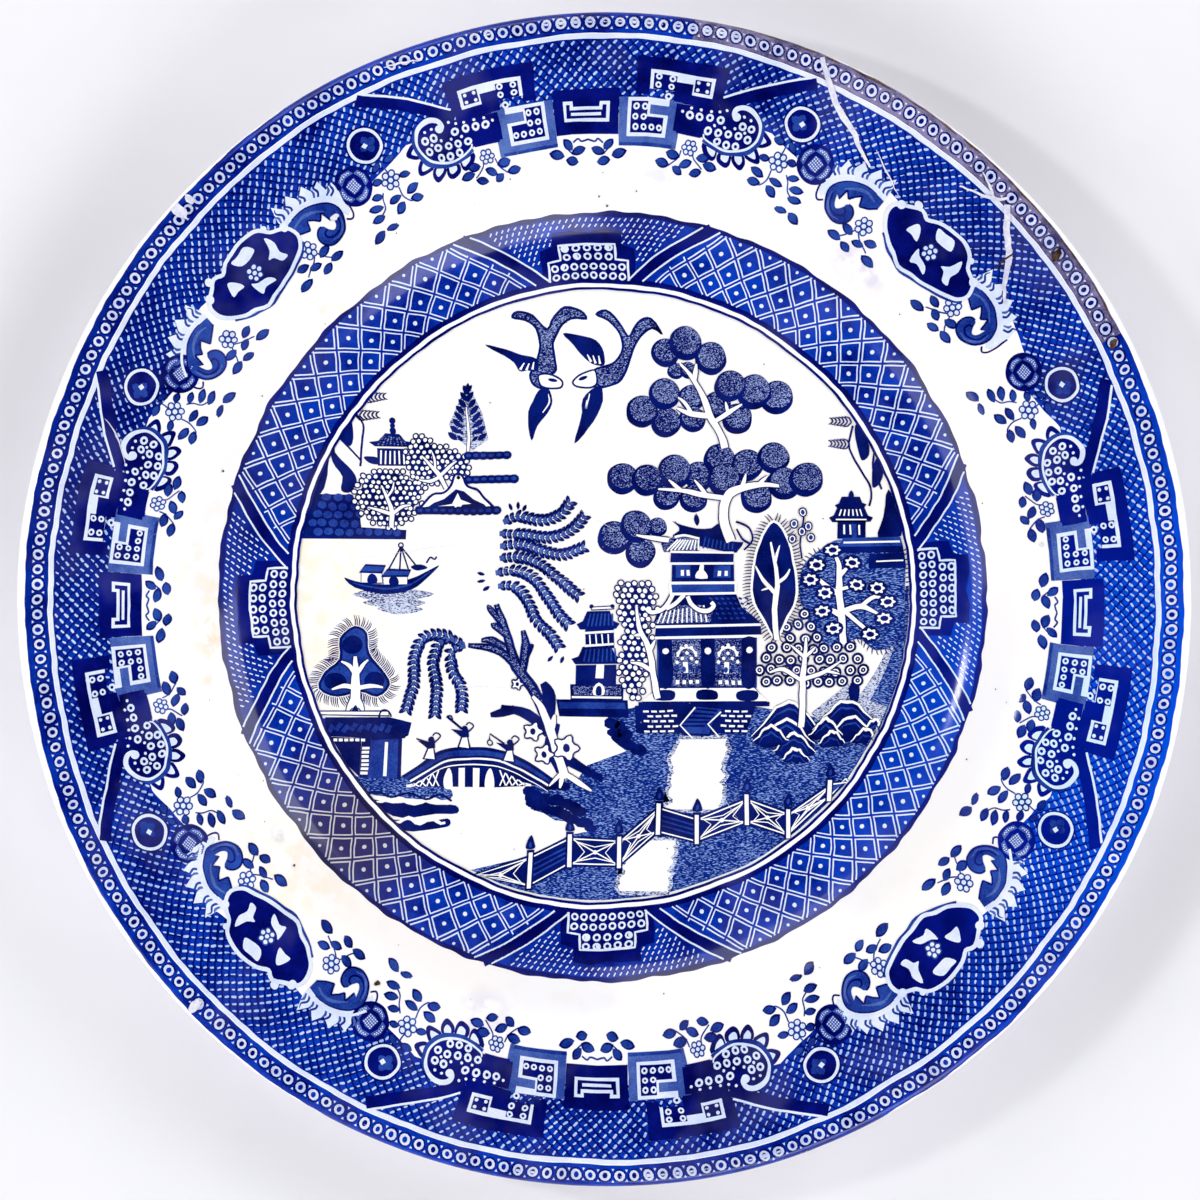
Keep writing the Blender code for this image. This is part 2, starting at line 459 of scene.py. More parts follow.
def ink(name, deep, light, grain=0.35, blotch=6.0, fading=0.0, spread=0.16, casts=()):
    """A printed blue: deep where the ink lay thick and light where it lay thin, and faded in places.

    Each cast is a place on the face, a reach in millimetres, a tint and its strength."""
    n = Nodes(name)
    fine = n.noise(grain, 1.0)
    wide = n.noise(blotch, 3.0, 0.6, seed=3.1)
    broad = n.noise(34, 2.0, seed=7.7)
    mixed = n.math("ADD", n.math("MULTIPLY", wide, 0.55), n.math("MULTIPLY", fine, 0.25))
    mixed = n.math("ADD", mixed, n.math("MULTIPLY", broad, 0.3))
    color = n.mix(n.ramp(mixed, 0.55 - spread, 0.55 + spread), shade(*deep), shade(*light))
    if fading:
        worn = n.ramp(n.noise(22, 3.0, 0.6, seed=1.3), 0.5, 0.66, 0, fading)
        color = n.mix(worn, color, shade(*FADED))
    # each cast mixes a tint in near a place; the lighter casts on the plate's right are a painted sheen of
    # light
    for x, y, reach, tint, strength in casts:
        color = n.mix(n.math("MULTIPLY", n.near(x, y, reach, 0.2), strength), color, shade(*tint))
    return n.finish(color, n.ramp(wide, 0.3, 0.7, 0.09, 0.16), fine)


# ground blue: a painted sheen, lighter and more cyan, on the right; darker on the left rim; greyed in the
# lower left
GROUND = ink("ground_blue", (0, 8, 112), (8, 62, 188), fading=0.22, casts=((112, -24, 80, (0, 80, 222),
    0.75), (-114, 36, 76, (2, 8, 96), 0.6), (-57, -52, 26, (56, 50, 88), 0.85)))
# deep blue: a painted sheen, lighter, on the right; greyed in the lower left
DARK = ink("deep_blue", (0, 2, 70), (6, 18, 124), fading=0.25, casts=((112, -24, 80, (0, 30, 160),
    0.55), (-57, -52, 26, (40, 36, 66), 0.7)))
PALE = ink("frame_blue", (38, 66, 150), (92, 118, 188), fading=0.2)
LEAF = ink("leaf_blue", (6, 26, 116), (44, 80, 170), fading=0.1)
# reserved white: greyed in the lower left; a painted sheen, paler and bluer, on the right
RESERVE = ink("reserved_white", (196, 210, 244), (238, 242, 252), spread=0.2,
    casts=((-57, -52, 26, (196, 188, 188), 0.8), (96, -20, 50, (206, 236, 254), 0.6)))
BEAD = ink("bead_white", (168, 180, 224), (228, 232, 248), spread=0.2)
TICK = ink("thin_white", (122, 158, 230), (204, 220, 249), spread=0.2)
BARE = ink("bare_white", (243, 243, 247), (253, 252, 250), spread=0.2)
GREYED = ink("worn_edge", (60, 52, 96), (146, 138, 176), blotch=3.0)
BURNT = ink("burnt_edge", (26, 16, 22), (112, 84, 66), blotch=1.5)
SCUFF = ink("scuffed_glaze", (196, 196, 222), (238, 237, 246), grain=0.6, blotch=2.0)
SCENE = ink("scene_blue", (0, 4, 66), (8, 28, 116), fading=0.08)


def engraved(name, size, stretch, white, deep, bare):
    """Fine engraved marks of blue on white. white is about the share that stays bare."""
    n = Nodes(name)
    marks = n.noise(size, 1.0, seed=2.0, stretch=stretch)
    patch = n.noise(7, 2.0, seed=5.0)
    level = n.math("ADD", marks, n.math("MULTIPLY", n.math("SUBTRACT", patch), 0.2))
    middle = 0.5 + 0.25 * (0.5 - white)
    color = n.mix(n.ramp(level, middle - 0.06, middle + 0.06), shade(*deep), shade(*bare))
    return n.finish(color)


STIPPLE = engraved("scene_stipple", 0.17, 1.8, 0.24, (4, 14, 92), (152, 168, 220))
HATCH = engraved("ground_hatch", 0.18, 4.0, 0.2, (4, 34, 122), (134, 164, 226))
HAZE = engraved("scene_haze", 0.15, 3.0, 0.6, (14, 22, 96), (206, 214, 238))


# ---- motifs that many places share ----
def eye(art, level, u, v, radius, ring=None):
    """A white bead with a dark centre."""
    art.fill(RESERVE, level, oval(u, v, radius, sides=10))
    art.fill(DARK, level + 1, oval(u, v, radius * (ring or 0.42), sides=8))


def seven_dots(art, u, v, radius, level=1):
    """A flower of six white dots about a seventh, each with a blue edge."""
    small = radius * 0.26
    places = [(u, v)] + [tuple(p) for p in oval(u, v, radius * 0.68, sides=6)]
    for place in places:
        art.fill(LEAF, level, oval(*place, small + 0.33, sides=9))
    for place in places:
        art.fill(RESERVE, level + 1, oval(*place, small, sides=8))


def sprig(art, stem, leaves):
    """A curved stem with pointed leaves, each given as its middle, half length, half width and tilt."""
    if stem is not None:
        art.line(LEAF, 1, smooth(stem), 0.32)
    for u, v, length, half, tilt in leaves:
        shape = leaf(-1.1 * length, 0, 2.2 * length, 2.2 * half, 0, 7)
        art.fill(DARK, 1, turned(shape, tilt) + (u, v))
        art.fill(LEAF, 2, turned(shape * (0.8, 0.72) + (0.14 * length, 0.05), tilt) + (u, v))


# ---- the rim's border ----
# each transfer's angle and the radius that its own v starts from
CARDINALS = ((-2.1, 109.8), (91.5, 109.1), (181.0, 109.6), (269.4, 110.2))
DIAGONALS = ((43.0, 107.1), (135.9, 108.1), (225.1, 107.4), (312.3, 108.1))


def ground_floor(angle):
    """The radius where the blue ground stops, under the motifs at this angle."""
    middle, ring = min(CARDINALS, key=lambda group: abs((angle - group[0] + 180) % 360 - 180))
    away = abs((angle - middle + 180) % 360 - 180)
    return ring - 110 + float(np.interp(away, (0, 4, 11, 17, 19, 22, 24.5, 28, 31, 36, 46),
        (108, 108, 112, 108, 109.5, 110, 108, 106, 109.5, 111.5, 107.5)))


def border_ground():
    art = Artwork("rim_border_ground", "border_blue")
    floors = np.array([ground_floor(angle) for angle in np.linspace(0, 360, 720, endpoint=False)])
    ring_band(art, GROUND, 0, floors, BORDER_OUTER, 14)
    return art.piece()


def border_mosaic():
    """Staggered rows of white dashes between crossing dark lines."""
    rng = random.Random(11)
    dash = points_of([(-0.56, -0.2), (-0.2, -0.3), (0.56, -0.2), (0.6, 0.2), (0.1, 0.3), (-0.52, 0.24)])
    per_turn, row_pitch = 330, 1.1
    rows = int((BORDER_OUTER - 105) / row_pitch)
    pieces = []
    for quarter in range(4):
        art = Artwork(f"rim_border_mosaic_{quarter + 1}", "border_blue")
        for k in range(quarter * per_turn // 4, (quarter + 1) * per_turn // 4):
            for row in range(rows):
                radius = BORDER_OUTER - 0.8 - row * row_pitch
                angle = (k + 0.5 * (row % 2)) * 360 / per_turn
                if radius < ground_floor(angle) + 0.3:
                    continue
                art.place = on_ring(angle, radius)
                art.fill(TICK, 1.3, turned(dash, 45 + rng.uniform(-14, 14)) * rng.uniform(0.6, 1.05))
            for way in (1, -1):
                drop = np.arange(0.2, 18, 1.6)
                turns = (k + 0.25) * 360 / per_turn + way * drop / row_pitch * 180 / per_turn
                kept = [(a, BORDER_OUTER - d) for a, d in zip(turns, drop) if BORDER_OUTER
                    - d > ground_floor(a) + 0.2]
                if len(kept) > 1:
                    art.place = flat
                    art.line(DARK, 1, at_places(kept), 0.34)
        pieces.append(art.piece())
    return pieces


def corner_frame(art):
    """The upper fret of a group's one side: a dark hook round a white-lined panel."""
    art.fill(DARK, 1, [(-30, 10.3), (-10.9, 10.3), (-10.9, 7.6), (-27.7, 7.6), (-27.7, 3.2),
        (-30, 3.9)], 5)
    art.fill(DARK, 1, box(-13.8, 2.0, -11.0, 7.8), 5)
    art.fill(DARK, 1, box(-29.4, 1.0, -19.4, 3.6), 5)
    art.fill(RESERVE, 2, box(-27.6, 3.3, -13.8, 7.6), 5)
    art.fill(DARK, 3, box(-26.9, 4.0, -23.4, 6.8), 5)
    art.fill(DARK, 3, box(-19.4, 3.3, -14.5, 6.8), 5)
    art.fill(DARK, 3, box(-23.0, 1.2, -19.2, 5.6), 5)
    for u in (-26.2, -24.1):
        for v in (4.6, 6.2):
            art.fill(RESERVE, 4, oval(u, v, 0.42, sides=7))
    for u in (-18.5, -15.6):
        for v in (4.3, 6.1):
            eye(art, 4, u, v, 0.72)
    eye(art, 4, -18.0, 2.0, 0.8)


def key_frame(art):
    """The pale square of a group's one side, with a white key line round a dotted panel."""
    art.fill(PALE, 2, box(-21.3, -8.9, -7.4, 1.4), 5)
    art.fill(LEAF, 2, box(-20.6, -8.9, -7.4, -8.1), 5)
    art.fill(RESERVE, 3, box(-18.4, -6.8, -9.3, 1.3), 5)
    art.fill(DARK, 4, box(-17.5, -6.0, -10.1, 0.5), 5)
    art.fill(RESERVE, 5, box(-18.4, -2.6, -13.8, 0.6))
    art.fill(PALE, 6, box(-19.6, -2.0, -14.3, -0.1))
    for row, v in enumerate((-0.6, -2.7, -4.8)):
        for k, u in enumerate((-11.2, -13.1, -15.0, -16.8)):
            if row < 2 and k > 1:
                continue
            eye(art, 5, u, v, 0.72)


def scroll_end(art):
    """The dotted scroll outside the frames, with its white curl and the claws round its end."""
    claws = ([(-40.2, -0.4), (-41.5, -1.0), (-42.7, -2.1), (-41.2, -3.4), (-39.6, -3.5)],
        [(-40.0, -4.3), (-41.2, -5.7), (-41.4, -7.0), (-39.6, -7.1), (-38.0, -6.7)],
        [(-37.7, -7.0), (-38.4, -8.5), (-37.8, -9.8), (-36.0, -8.9), (-35.3, -7.6)],
        [(-34.8, -7.6), (-34.9, -9.5), (-34.0, -10.3), (-32.2, -9.5), (-31.8, -8.0)],
        [(-31.1, -7.6), (-31.0, -9.1), (-30.2, -9.5), (-28.4, -8.3), (-27.4, -6.6)])
    for claw in claws:
        shape = smooth(claw, 4)
        art.fill(DARK, 1, grown(shape, 0.3))
        middle = shape.mean(0)
        art.fill(RESERVE, 2, (shape - middle) * 0.66 + middle + turned([(0.5, 0)],
            math.degrees(math.atan2(-2.5 - middle[1], -34.5 - middle[0])))[0])
    rim = smooth([(-38.3, 2.1), (-39.5, 0.5), (-39.9, -1.1), (-39.5, -3.2), (-38.3, -5.1),
        (-35.9, -6.3), (-33.1, -6.9), (-30.5, -6.5), (-27.5, -5.4)], 4)
    art.line(LEAF, 3, rim, 2.3, (0.5, 0.6))
    body = smooth([(-20, 0.9), (-28, 1.2), (-31.2, 2.2), (-34.9, 3.3), (-38.2, 2.0), (-39.4, -1.0),
        (-37.9, -4.8), (-33.1, -6.5), (-27.6, -5.2), (-20, -5.0)], 4)
    art.fill(DARK, 4, body, 5)
    eyes = [(-23.3, -1.1), (-25.5, -1.0), (-27.9, -0.8), (-30.4, -0.8), (-28.0, -3.6), (-30.4, -3.5),
        (-32.8, -3.3), (-35.2, -3.0), (-37.5, -3.2), (-35.5, -0.8), (-37.6, -0.8), (-30.8, -5.4),
        (-33.1, -5.6), (-35.3, -5.3)]
    for u, v in eyes:
        eye(art, 5, u, v, 0.92, 0.42)
    for u, v in ((-23.4, 0.4), (-25.6, 0.5), (-27.9, 0.6), (-29.7, 0.9), (-31.2, 1.6), (-35.3, 1.2),
            (-36.9, 1.0), (-21.6, -0.6), (-29.2, -2.2), (-31.6, -2.1), (-34.0, -1.7), (-36.4, -2.0)):
        art.fill(RESERVE, 5, oval(u, v, 0.36, sides=6))
    art.fill(DARK, 4.4, box(-26.8, -5.4, -20.8, -2.6), 5)
    curl = smooth([(-27.3, -4.4), (-27.8, -5.3), (-30.5, -6.4), (-33.1, -6.8), (-35.9, -6.2),
        (-38.1, -5.0), (-39.3, -3.2), (-39.7, -1.1), (-39.3, 0.5), (-38.2, 2.0), (-36.6, 3.0),
        (-34.9, 3.2), (-33.4, 2.5), (-32.9, 1.2), (-33.4, 0.3)], 4)
    art.line(RESERVE, 7, curl[:30], 0.55, (0.6, 1))
    art.line(RESERVE, 7, curl[26:], 1.15, (0.4, 0.9))
    art.fill(RESERVE, 8, oval(-33.6, 0.7, 0.95))


def slanted_bar(art):
    """The dark bar from the border's edge down to the frames, with a white line above it."""
    art.line(DARK, 1, [(-47.6 + 2.0 * k, 13.6 - 1.28 * k) for k in range(10)], 2.5)
    art.line(RESERVE, 2, [(-46.0 + 2.0 * k, 14.3 - 1.28 * k) for k in range(9)], 0.5)


def ring_disc(art, u, v):
    art.fill(DARK, 1, oval(u, v, 4.25, sides=28), 3)
    art.fill(RESERVE, 2, oval(u, v, 3.9, sides=28), 3)
    art.fill(DARK, 3, oval(u, v, 3.25, sides=26), 3)
    for turn in (20, 100, 200, 285):
        art.fill(LEAF, 4, leaf(0.7, 0, 2.1, 1.7, turn) + (u, v))
    art.fill(RESERVE, 5, turned(box(-0.5, -0.5, 0.5, 0.5), 30) + (u, v))


def coin_disc(art, u, v):
    """A round coin with a square of fine dots, and four dotted leaves round it."""
    art.fill(DARK, 1, oval(u, v, 4.4, sides=28), 3)
    square = turned([(-1.35, -1.2), (0, -1.5), (1.35, -1.2), (1.25, 0), (1.35, 1.2), (0, 1.5),
        (-1.35, 1.2), (-1.25, 0)], 20)
    art.fill(PALE, 2, square + (u, v))
    for i in range(-2, 3):
        for j in range(-2, 3):
            art.fill(RESERVE, 3, oval(*(turned([(0.5 * i, 0.52 * j)], 20)[0] + (u, v)), 0.17, sides=5))
    for k in range(4):
        lens = turned([(2.0, -1.9), (3.2, -1.7), (3.75, 0), (3.2, 1.7), (2.0, 1.9), (2.5, 0)],
            90 * k + 20)
        art.fill(PALE, 2, lens + (u, v), 5)
        for step in (-1.2, -0.6, 0, 0.6, 1.2):
            at = turned([(2.95 - 0.12 * step * step, step), (3.35 - 0.2 * step * step, step * 0.8)],
                90 * k + 20) + (u, v)
            art.fill(RESERVE, 3, oval(*at[0], 0.17, sides=5))
            art.fill(RESERVE, 3, oval(*at[1], 0.14, sides=5))


def group_sprigs(art):
    """The leaves that hang under one side of a group."""
    sprig(art, [(-4.2, -8.0), (-5.0, -9.4), (-3.4, -11.0)], [(-7.6, -10.6, 1.8, 1.05, -18),
        (-4.9, -8.6, 1.5, 0.95, -50), (-2.4, -10.1, 1.7, 1.0, 20), (-3.9, -12.4, 1.5, 1.0, -12)])
    art.line(LEAF, 1, smooth([(0, -7.6), (-1.6, -8.0), (-2.4, -7.4), (-3.6, -8.2)]), 0.4)
    seven_dots(art, -24.6, -8.0, 1.75)
    sprig(art, [(-25.8, -8.8), (-26.2, -10.2), (-28.6, -12.2)], [(-28.4, -9.6, 1.6, 1.0, -8),
        (-30.4, -11.2, 1.7, 1.0, 6), (-24.3, -11.6, 1.6, 0.95, -30), (-27.2, -13.2, 1.5, 0.9, -20)])
    sprig(art, [(-22.8, -8.8), (-22.2, -10.6), (-20.2, -12.6)], [(-20.8, -10.1, 1.7, 1.05, 10),
        (-18.6, -12.2, 1.7, 1.0, 8), (-22.6, -13.4, 1.4, 0.9, 30)])


def disc_sprigs(art):
    """The dotted flower under a disc, with its leaves."""
    sprig(art, [(-47.7, 0.3), (-47.5, -2.2), (-47.1, -3.5)], [(-45.8, -0.9, 1.4, 0.85, 5),
        (-49.2, -1.4, 1.3, 0.8, 40)])
    seven_dots(art, -47.2, -5.2, 2.2)
    sprig(art, None, [(-43.8, -5.4, 1.3, 0.75, -10), (-50.3, -4.3, 1.2, 0.8, 0)])
    sprig(art, [(-46.2, -7.4), (-46.0, -9.8), (-44.7, -11.6), (-43.4, -11.4)],
        [(-43.2, -9.0, 1.75, 0.95, 18), (-48.2, -9.6, 1.75, 0.85, 10), (-43.0, -11.4, 1.6, 0.95, -10),
        (-47.9, -12.0, 1.7, 1.0, 28)])
    sprig(art, [(-50.0, -7.0), (-51.0, -8.4), (-51.6, -10.4), (-53.4, -11.5)],
        [(-51.9, -7.2, 1.4, 0.75, -10), (-53.6, -9.4, 1.8, 0.85, -12), (-54.3, -11.6, 1.8, 0.85, -2)])
    sprig(art, [(-50.8, -14.6), (-53.8, -15.0)], [(-52.2, -14.9, 1.6, 0.7, -8),
        (-56.3, -15.4, 1.9, 1.0, 22)])


def centre_block(art):
    """The dark block at a group's middle, with a white tray."""
    art.fill(DARK, 1, box(-7.3, -6.4, 7.3, 3.3), 5)
    art.fill(RESERVE, 2, [(-5.2, 0.6), (-3.0, 0.6), (-3.0, -0.5), (3.0, -0.5), (3.0, 0.6), (5.2, 0.6),
        (5.2, -3.7), (-5.2, -3.7)], 5)
    art.fill(DARK, 3, [(-4.5, -0.1), (-3.7, -0.1), (-3.7, -1.2), (3.7, -1.2), (3.7, -0.1), (4.5, -0.1),
        (4.5, -3.0), (-4.5, -3.0)], 5)
    art.fill(RESERVE, 4, box(-3.4, -2.4, 3.4, -1.75))


def border_group(number, angle, ring):
    art = Artwork(f"rim_border_frames_{number}", "border_blue", base=2)
    art.place = on_ring(angle, ring)
    centre_block(art)
    for flip in (1, -1):
        art.place = on_ring(angle, ring, flip)
        slanted_bar(art)
        corner_frame(art)
        scroll_end(art)
        key_frame(art)
        group_sprigs(art)
        art.place = on_ring(angle - 0.6, ring, flip)
        disc_sprigs(art)
        ring_disc(art, -49.1, 4.1)
        coin_disc(art, -55.5, -2.5)
    return art.piece()


def leaf_scroll(art):
    """The leafy C-scroll at one side of a cartouche: a leaf with a volute, under white flames."""
    flames = [(-27.4, 1.2), (-26.8, 3.6), (-25.0, 3.0), (-24.4, 5.6), (-22.4, 4.4), (-21.2, 7.0),
        (-19.2, 5.2), (-17.4, 7.6), (-15.8, 5.2), (-13.6, 7.6), (-12.8, 4.0)]
    art.fill(RESERVE, 1, [*flames, (-13.2, 1.4), (-18.5, 2.0), (-22.6, 0.2), (-24.6, -2.0),
        (-26.2, -4.4), (-27.0, -3.6), (-27.2, -1.0)], 5)
    for u, v, heading in ((-25.2, 1.2, 120), (-22.6, 2.6, 105), (-19.6, 3.4, 95), (-16.4, 3.6, 88),
            (-14.2, 3.4, 80)):
        art.line(LEAF, 2, smooth(turned([(0, 0), (1.2, 0.5), (2.4, -0.2), (3.4, 0.3)], heading)
            + (u, v)), 0.5, (1, 0.2))
        art.line(PALE, 2, smooth(turned([(0.2, -0.9), (1.3, -0.5), (2.2, -0.9)], heading) + (u, v)),
            0.6, (0.6, 0.2))
    art.line(DARK, 2, smooth([(-27.5, 1.0), (-27.6, -2.0), (-27.4, -4.4), (-26.6, -5.4),
        (-25.4, -4.8)]), 0.4)
    body = smooth([(-13.1, 2.0), (-16.6, 2.8), (-20.2, 2.4), (-23.4, 0.7), (-25.2, -1.6), (-25.0, -4.2),
        (-23.8, -6.3), (-21.5, -7.7), (-19.1, -7.5), (-17.6, -6.0), (-17.6, -4.2), (-18.7, -2.9),
        (-20.0, -2.9), (-20.6, -4.0), (-21.7, -5.0), (-22.7, -4.2), (-23.0, -2.2)], 3)
    inner = [(-22.2, -2.9), (-21.4, -0.2), (-20.2, -1.7), (-19.2, -0.6), (-17.9, 0.4), (-17.2, -1.9),
        (-15.2, -1.2), (-13.4, 0.0)]
    art.fill(LEAF, 3, np.vstack((body, points_of(inner))), 5)
    art.line(DARK, 4, body[2:36], 0.4, (0.6, 1))
    for a, b in zip(inner, inner[1:]):
        art.line(DARK, 4, [a, b], 0.4)
    art.line(DARK, 4, smooth([(-23.9, -2.4), (-23.5, -5.0), (-21.4, -6.2), (-19.6, -5.6), (-19.6, -4.4),
        (-20.6, -4.0)]), 0.5, (0.4, 0.8))
    art.line(PALE, 4, smooth([(-24.4, -2.0), (-24.2, -4.6), (-22.2, -6.8), (-19.8, -6.8)]), 0.6,
        (0.3, 0.3))
    art.line(PALE, 4, smooth([(-14.8, 0.8), (-17.2, 1.6), (-19.8, 1.0), (-22.0, -0.4)]), 0.8, (0.4, 0.3))
    art.line(RESERVE, 4, smooth([(-26.6, -0.9), (-24.6, 1.2), (-22.0, 2.9), (-18.9, 3.7), (-15.4, 3.6),
        (-13.0, 2.6)]), 0.6)


def cartouche_outline():
    return blob([(-10.4, 3.3), (-11.4, 2.4), (-11.5, 0.2), (-10.2, -2.0), (-7.8, -4.2), (-5.2, -5.2),
        (-2.4, -6.8), (1.2, -6.3), (4.4, -5.9), (7.6, -4.9), (10.6, -3.6), (12.2, -2.6), (13.2, -0.6),
        (12.4, 1.6), (10.6, 2.6), (8.9, 3.4), (7.3, 5.4), (5.0, 6.3), (1.8, 6.5), (-1.8, 5.8),
        (-4.2, 4.5), (-6.2, 5.4), (-8.6, 4.2)])


def cartouche(number, angle, ring):
    """A dark lobed cartouche with a white edge, holding a white flower, between two leaf scrolls."""
    art = Artwork(f"rim_border_cartouche_{number}", "border_blue", base=2)
    for flip in (1, -1):
        art.place = on_ring(angle - 0.4, ring - 1, flip)
        leaf_scroll(art)
        seven_dots(art, -14.0, -5.0, 2.1)
        sprig(art, [(-14.2, -6.8), (-12.6, -8.2), (-9.8, -9.6)], [(-10.2, -7.3, 1.6, 0.95, 12),
            (-12.8, -9.0, 1.5, 0.85, 10), (-8.2, -10.8, 2.0, 1.0, -8)])
        sprig(art, [(-15.2, -6.9), (-16.6, -9.0), (-17.4, -9.8)], [(-16.8, -7.5, 1.7, 0.95, -16),
            (-18.6, -10.3, 1.8, 0.95, -4), (-14.8, -11.2, 1.6, 0.9, -18)])
    art.place = on_ring(angle, ring - 1)
    outline = cartouche_outline()
    art.line(LEAF, 5, smooth(grown(outline, 1.15)[10:36:3], 3), 0.6)
    art.line(RESERVE, 6, grown(outline, 0.4), 0.95, closed=True)
    art.fill(DARK, 7, outline, 4)
    for u, v, radius in ((-10.3, 3.9, 1.0), (-7.4, 6.3, 0.95), (12.3, 2.5, 1.05), (8.6, 5.2, 0.7)):
        art.fill(RESERVE, 9, oval(u, v, radius))
    petals = ([(-5.5, 0.0), (-5.0, 1.5), (-4.1, 2.5), (-3.1, 1.4), (-2.5, -0.4), (-4.1, -0.1)],
        [(-1.0, 4.4), (0.5, 4.6), (2.6, 4.8), (3.7, 3.1), (2.3, 2.5), (0.0, 2.5)],
        [(-1.3, -1.2), (-1.0, -4.1), (0.5, -3.6), (2.9, -4.2), (2.0, -2.7), (-0.2, -2.0)],
        [(4.4, -0.4), (5.6, 0.8), (6.4, 3.2), (7.4, 1.3), (7.0, -0.6), (7.8, -2.2), (6.3, -2.3),
        (5.4, -0.8)])
    for petal in petals:
        art.fill(RESERVE, 9, blob((points_of(petal) - (0.8, -0.2)) * 1.15 + (0.8, -0.2)))
    seven_dots(art, 0.8, -0.2, 1.9, level=10)
    return art.piece()


def border_line():
    """The unsteady white line between the border and the beads."""
    art = Artwork("rim_white_line", "border_blue")
    angles = np.radians(np.linspace(0, 360, 720, endpoint=False))
    art.line(RESERVE, 2, at_polar(WHITE_LINE, angles), 0.9, closed=True)
    return art.piece()


def bead_edge():
    """White beads round the lip, greyed and browned along the part that the hand has worn."""
    art = Artwork("bead_edge", "border_blue")
    ring_band(art, GROUND, 0, BEAD_INNER, LIP_END, 32)
    ring_band(art, GREYED, 0.5, 125.0, LIP_END, 32, 160, WORN)
    rng = random.Random(8)
    for k in range(BEADS):
        angle = 360 * k / BEADS
        art.place = on_ring(angle, BEAD_RING)
        size = rng.uniform(0.92, 1.05)
        art.fill(DARK, 1.6, oval(0, 0, 1.5 * size, 1.62 * size, sides=10), 0.7)
        art.fill(BEAD, 2.6, oval(0, 0, 1.14 * size, 1.26 * size, rng.uniform(0, 90), sides=10), 0.6)
        core = DARK if rng.random() < 0.6 or WORN[0] < angle < WORN[1] else GROUND
        art.fill(core, 3.6, oval(0, 0, 0.56 * size, 0.68 * size, sides=8))
        art.fill(BEAD, 1.6, turned([(1.3, 1.3), (1.95, 1.3), (1.62, 0.75)], rng.uniform(-5, 5)))
        art.fill(BEAD, 1.6, turned([(1.3, -1.4), (1.95, -1.4), (1.62, -0.8)], rng.uniform(-5, 5)))
    return art.piece()


# ---- the well's band ----
STEPS_AT = (-2.6, 88.6, 179.2, 267.96)


def ring_band(art, ink, level, inner, outer, rows, columns=720, span=None):
    """A ring of the face, or its part between two angles.

    inner may be a radius for each column, and outer a function of the angle."""
    first, last = span or (0, 360)
    angles = np.radians(np.linspace(first, last, columns, endpoint=bool(span)))
    edge = np.array([outer(a) for a in angles]) if callable(outer) else np.full(columns, outer)
    reach = inner + (edge - inner) * np.linspace(0, 1, rows)[:, None]
    points = np.column_stack(((reach * np.sin(angles)).ravel(), (reach * np.cos(angles)).ravel()))
    quads = [(r * columns + c, r * columns + (c + 1) % columns, (r + 1) * columns + (c + 1) % columns,
        (r + 1) * columns + c) for r in range(rows - 1) for c in range(columns - bool(span))]
    art.add(ink, level, points, quads)


def well_edge(angle):
    """The band's wavy outer edge."""
    return WELL_OUTER + 0.16 * math.sin(29 * angle) + 0.1 * math.sin(47 * angle + 1) + 0.1 * math.sin(83
        * angle)


def well_ground():
    art = Artwork("well_band_ground", "border_blue")
    ring_band(art, GROUND, 0, WELL_INNER, well_edge, 26)
    ring_band(art, DARK, 1, WELL_INNER, WELL_INNER + 0.8, 3)
    ring_band(art, DARK, 1, WELL_OUTER - 1.0, well_edge, 4)
    return art.piece()


def lattice_between(art, start, end):
    """Diamonds of doubled white lines with a dot in each, from one slanted bar to the next."""
    columns = round((end - start) / 4.96)
    pitch = (end - start) / columns
    low, high = 71.0, 84.8
    rows, phases = (low, 73.9, 77.2, 81.0, high), (-0.42, 0, 0.5, 1.0, 1.46)  # the cells grow outwards

    def bounds(radius):
        lean = 10.9 * (radius - WELL_INNER) / (WELL_OUTER - WELL_INNER)
        return start - 10.9 + lean + 1.9, end + 10.9 - lean - 1.9

    reach = np.linspace(low, high, 15)
    for k in range(-6, columns + 6):
        for way in (1, -1):
            for shift, white, level, width in ((-0.38, RESERVE, 2, 0.33), (0.38, RESERVE, 2, 0.33),
                    (0, GROUND, 3, 0.48)):
                angles = start + pitch * (k + way * np.interp(reach, rows, phases)) + shift
                inside = [(a, r) for a, r in zip(angles, reach) if bounds(r)[0] <= a <= bounds(r)[1]]
                if len(inside) > 1:
                    art.line(white, level, at_places(inside), width)
    for row, radius in enumerate((73.9, 77.2, 81.0, 84.2)):
        for k in range(-5, columns + 5):
            angle = start + pitch * (k + (0.0 if row % 2 else 0.5))
            if bounds(radius)[0] + 1.4 <= angle <= bounds(radius)[1] - 1.4:
                art.place = on_ring(angle, radius)
                art.fill(RESERVE, 2, oval(0, 0, 0.5 if row < 3 else 0.36, sides=8))
                art.place = flat


def slanted_well_bar(art, angle, way):
    """The dark bar at one side of a stepped panel, with white lines along it."""
    steps = np.linspace(0, 1, 16)
    for shift, width, ink, level in ((0, 2.7, DARK, 3), (-1.75, 0.4, RESERVE, 4),
            (1.75, 0.4, RESERVE, 4)):
        turn = np.radians(angle + way * (8.2 + 10.9 * steps + shift * 0.78))
        radius = WELL_INNER + 0.6 + (WELL_OUTER - WELL_INNER - 1.0) * steps
        art.line(ink, level, at_polar(radius, turn), width)


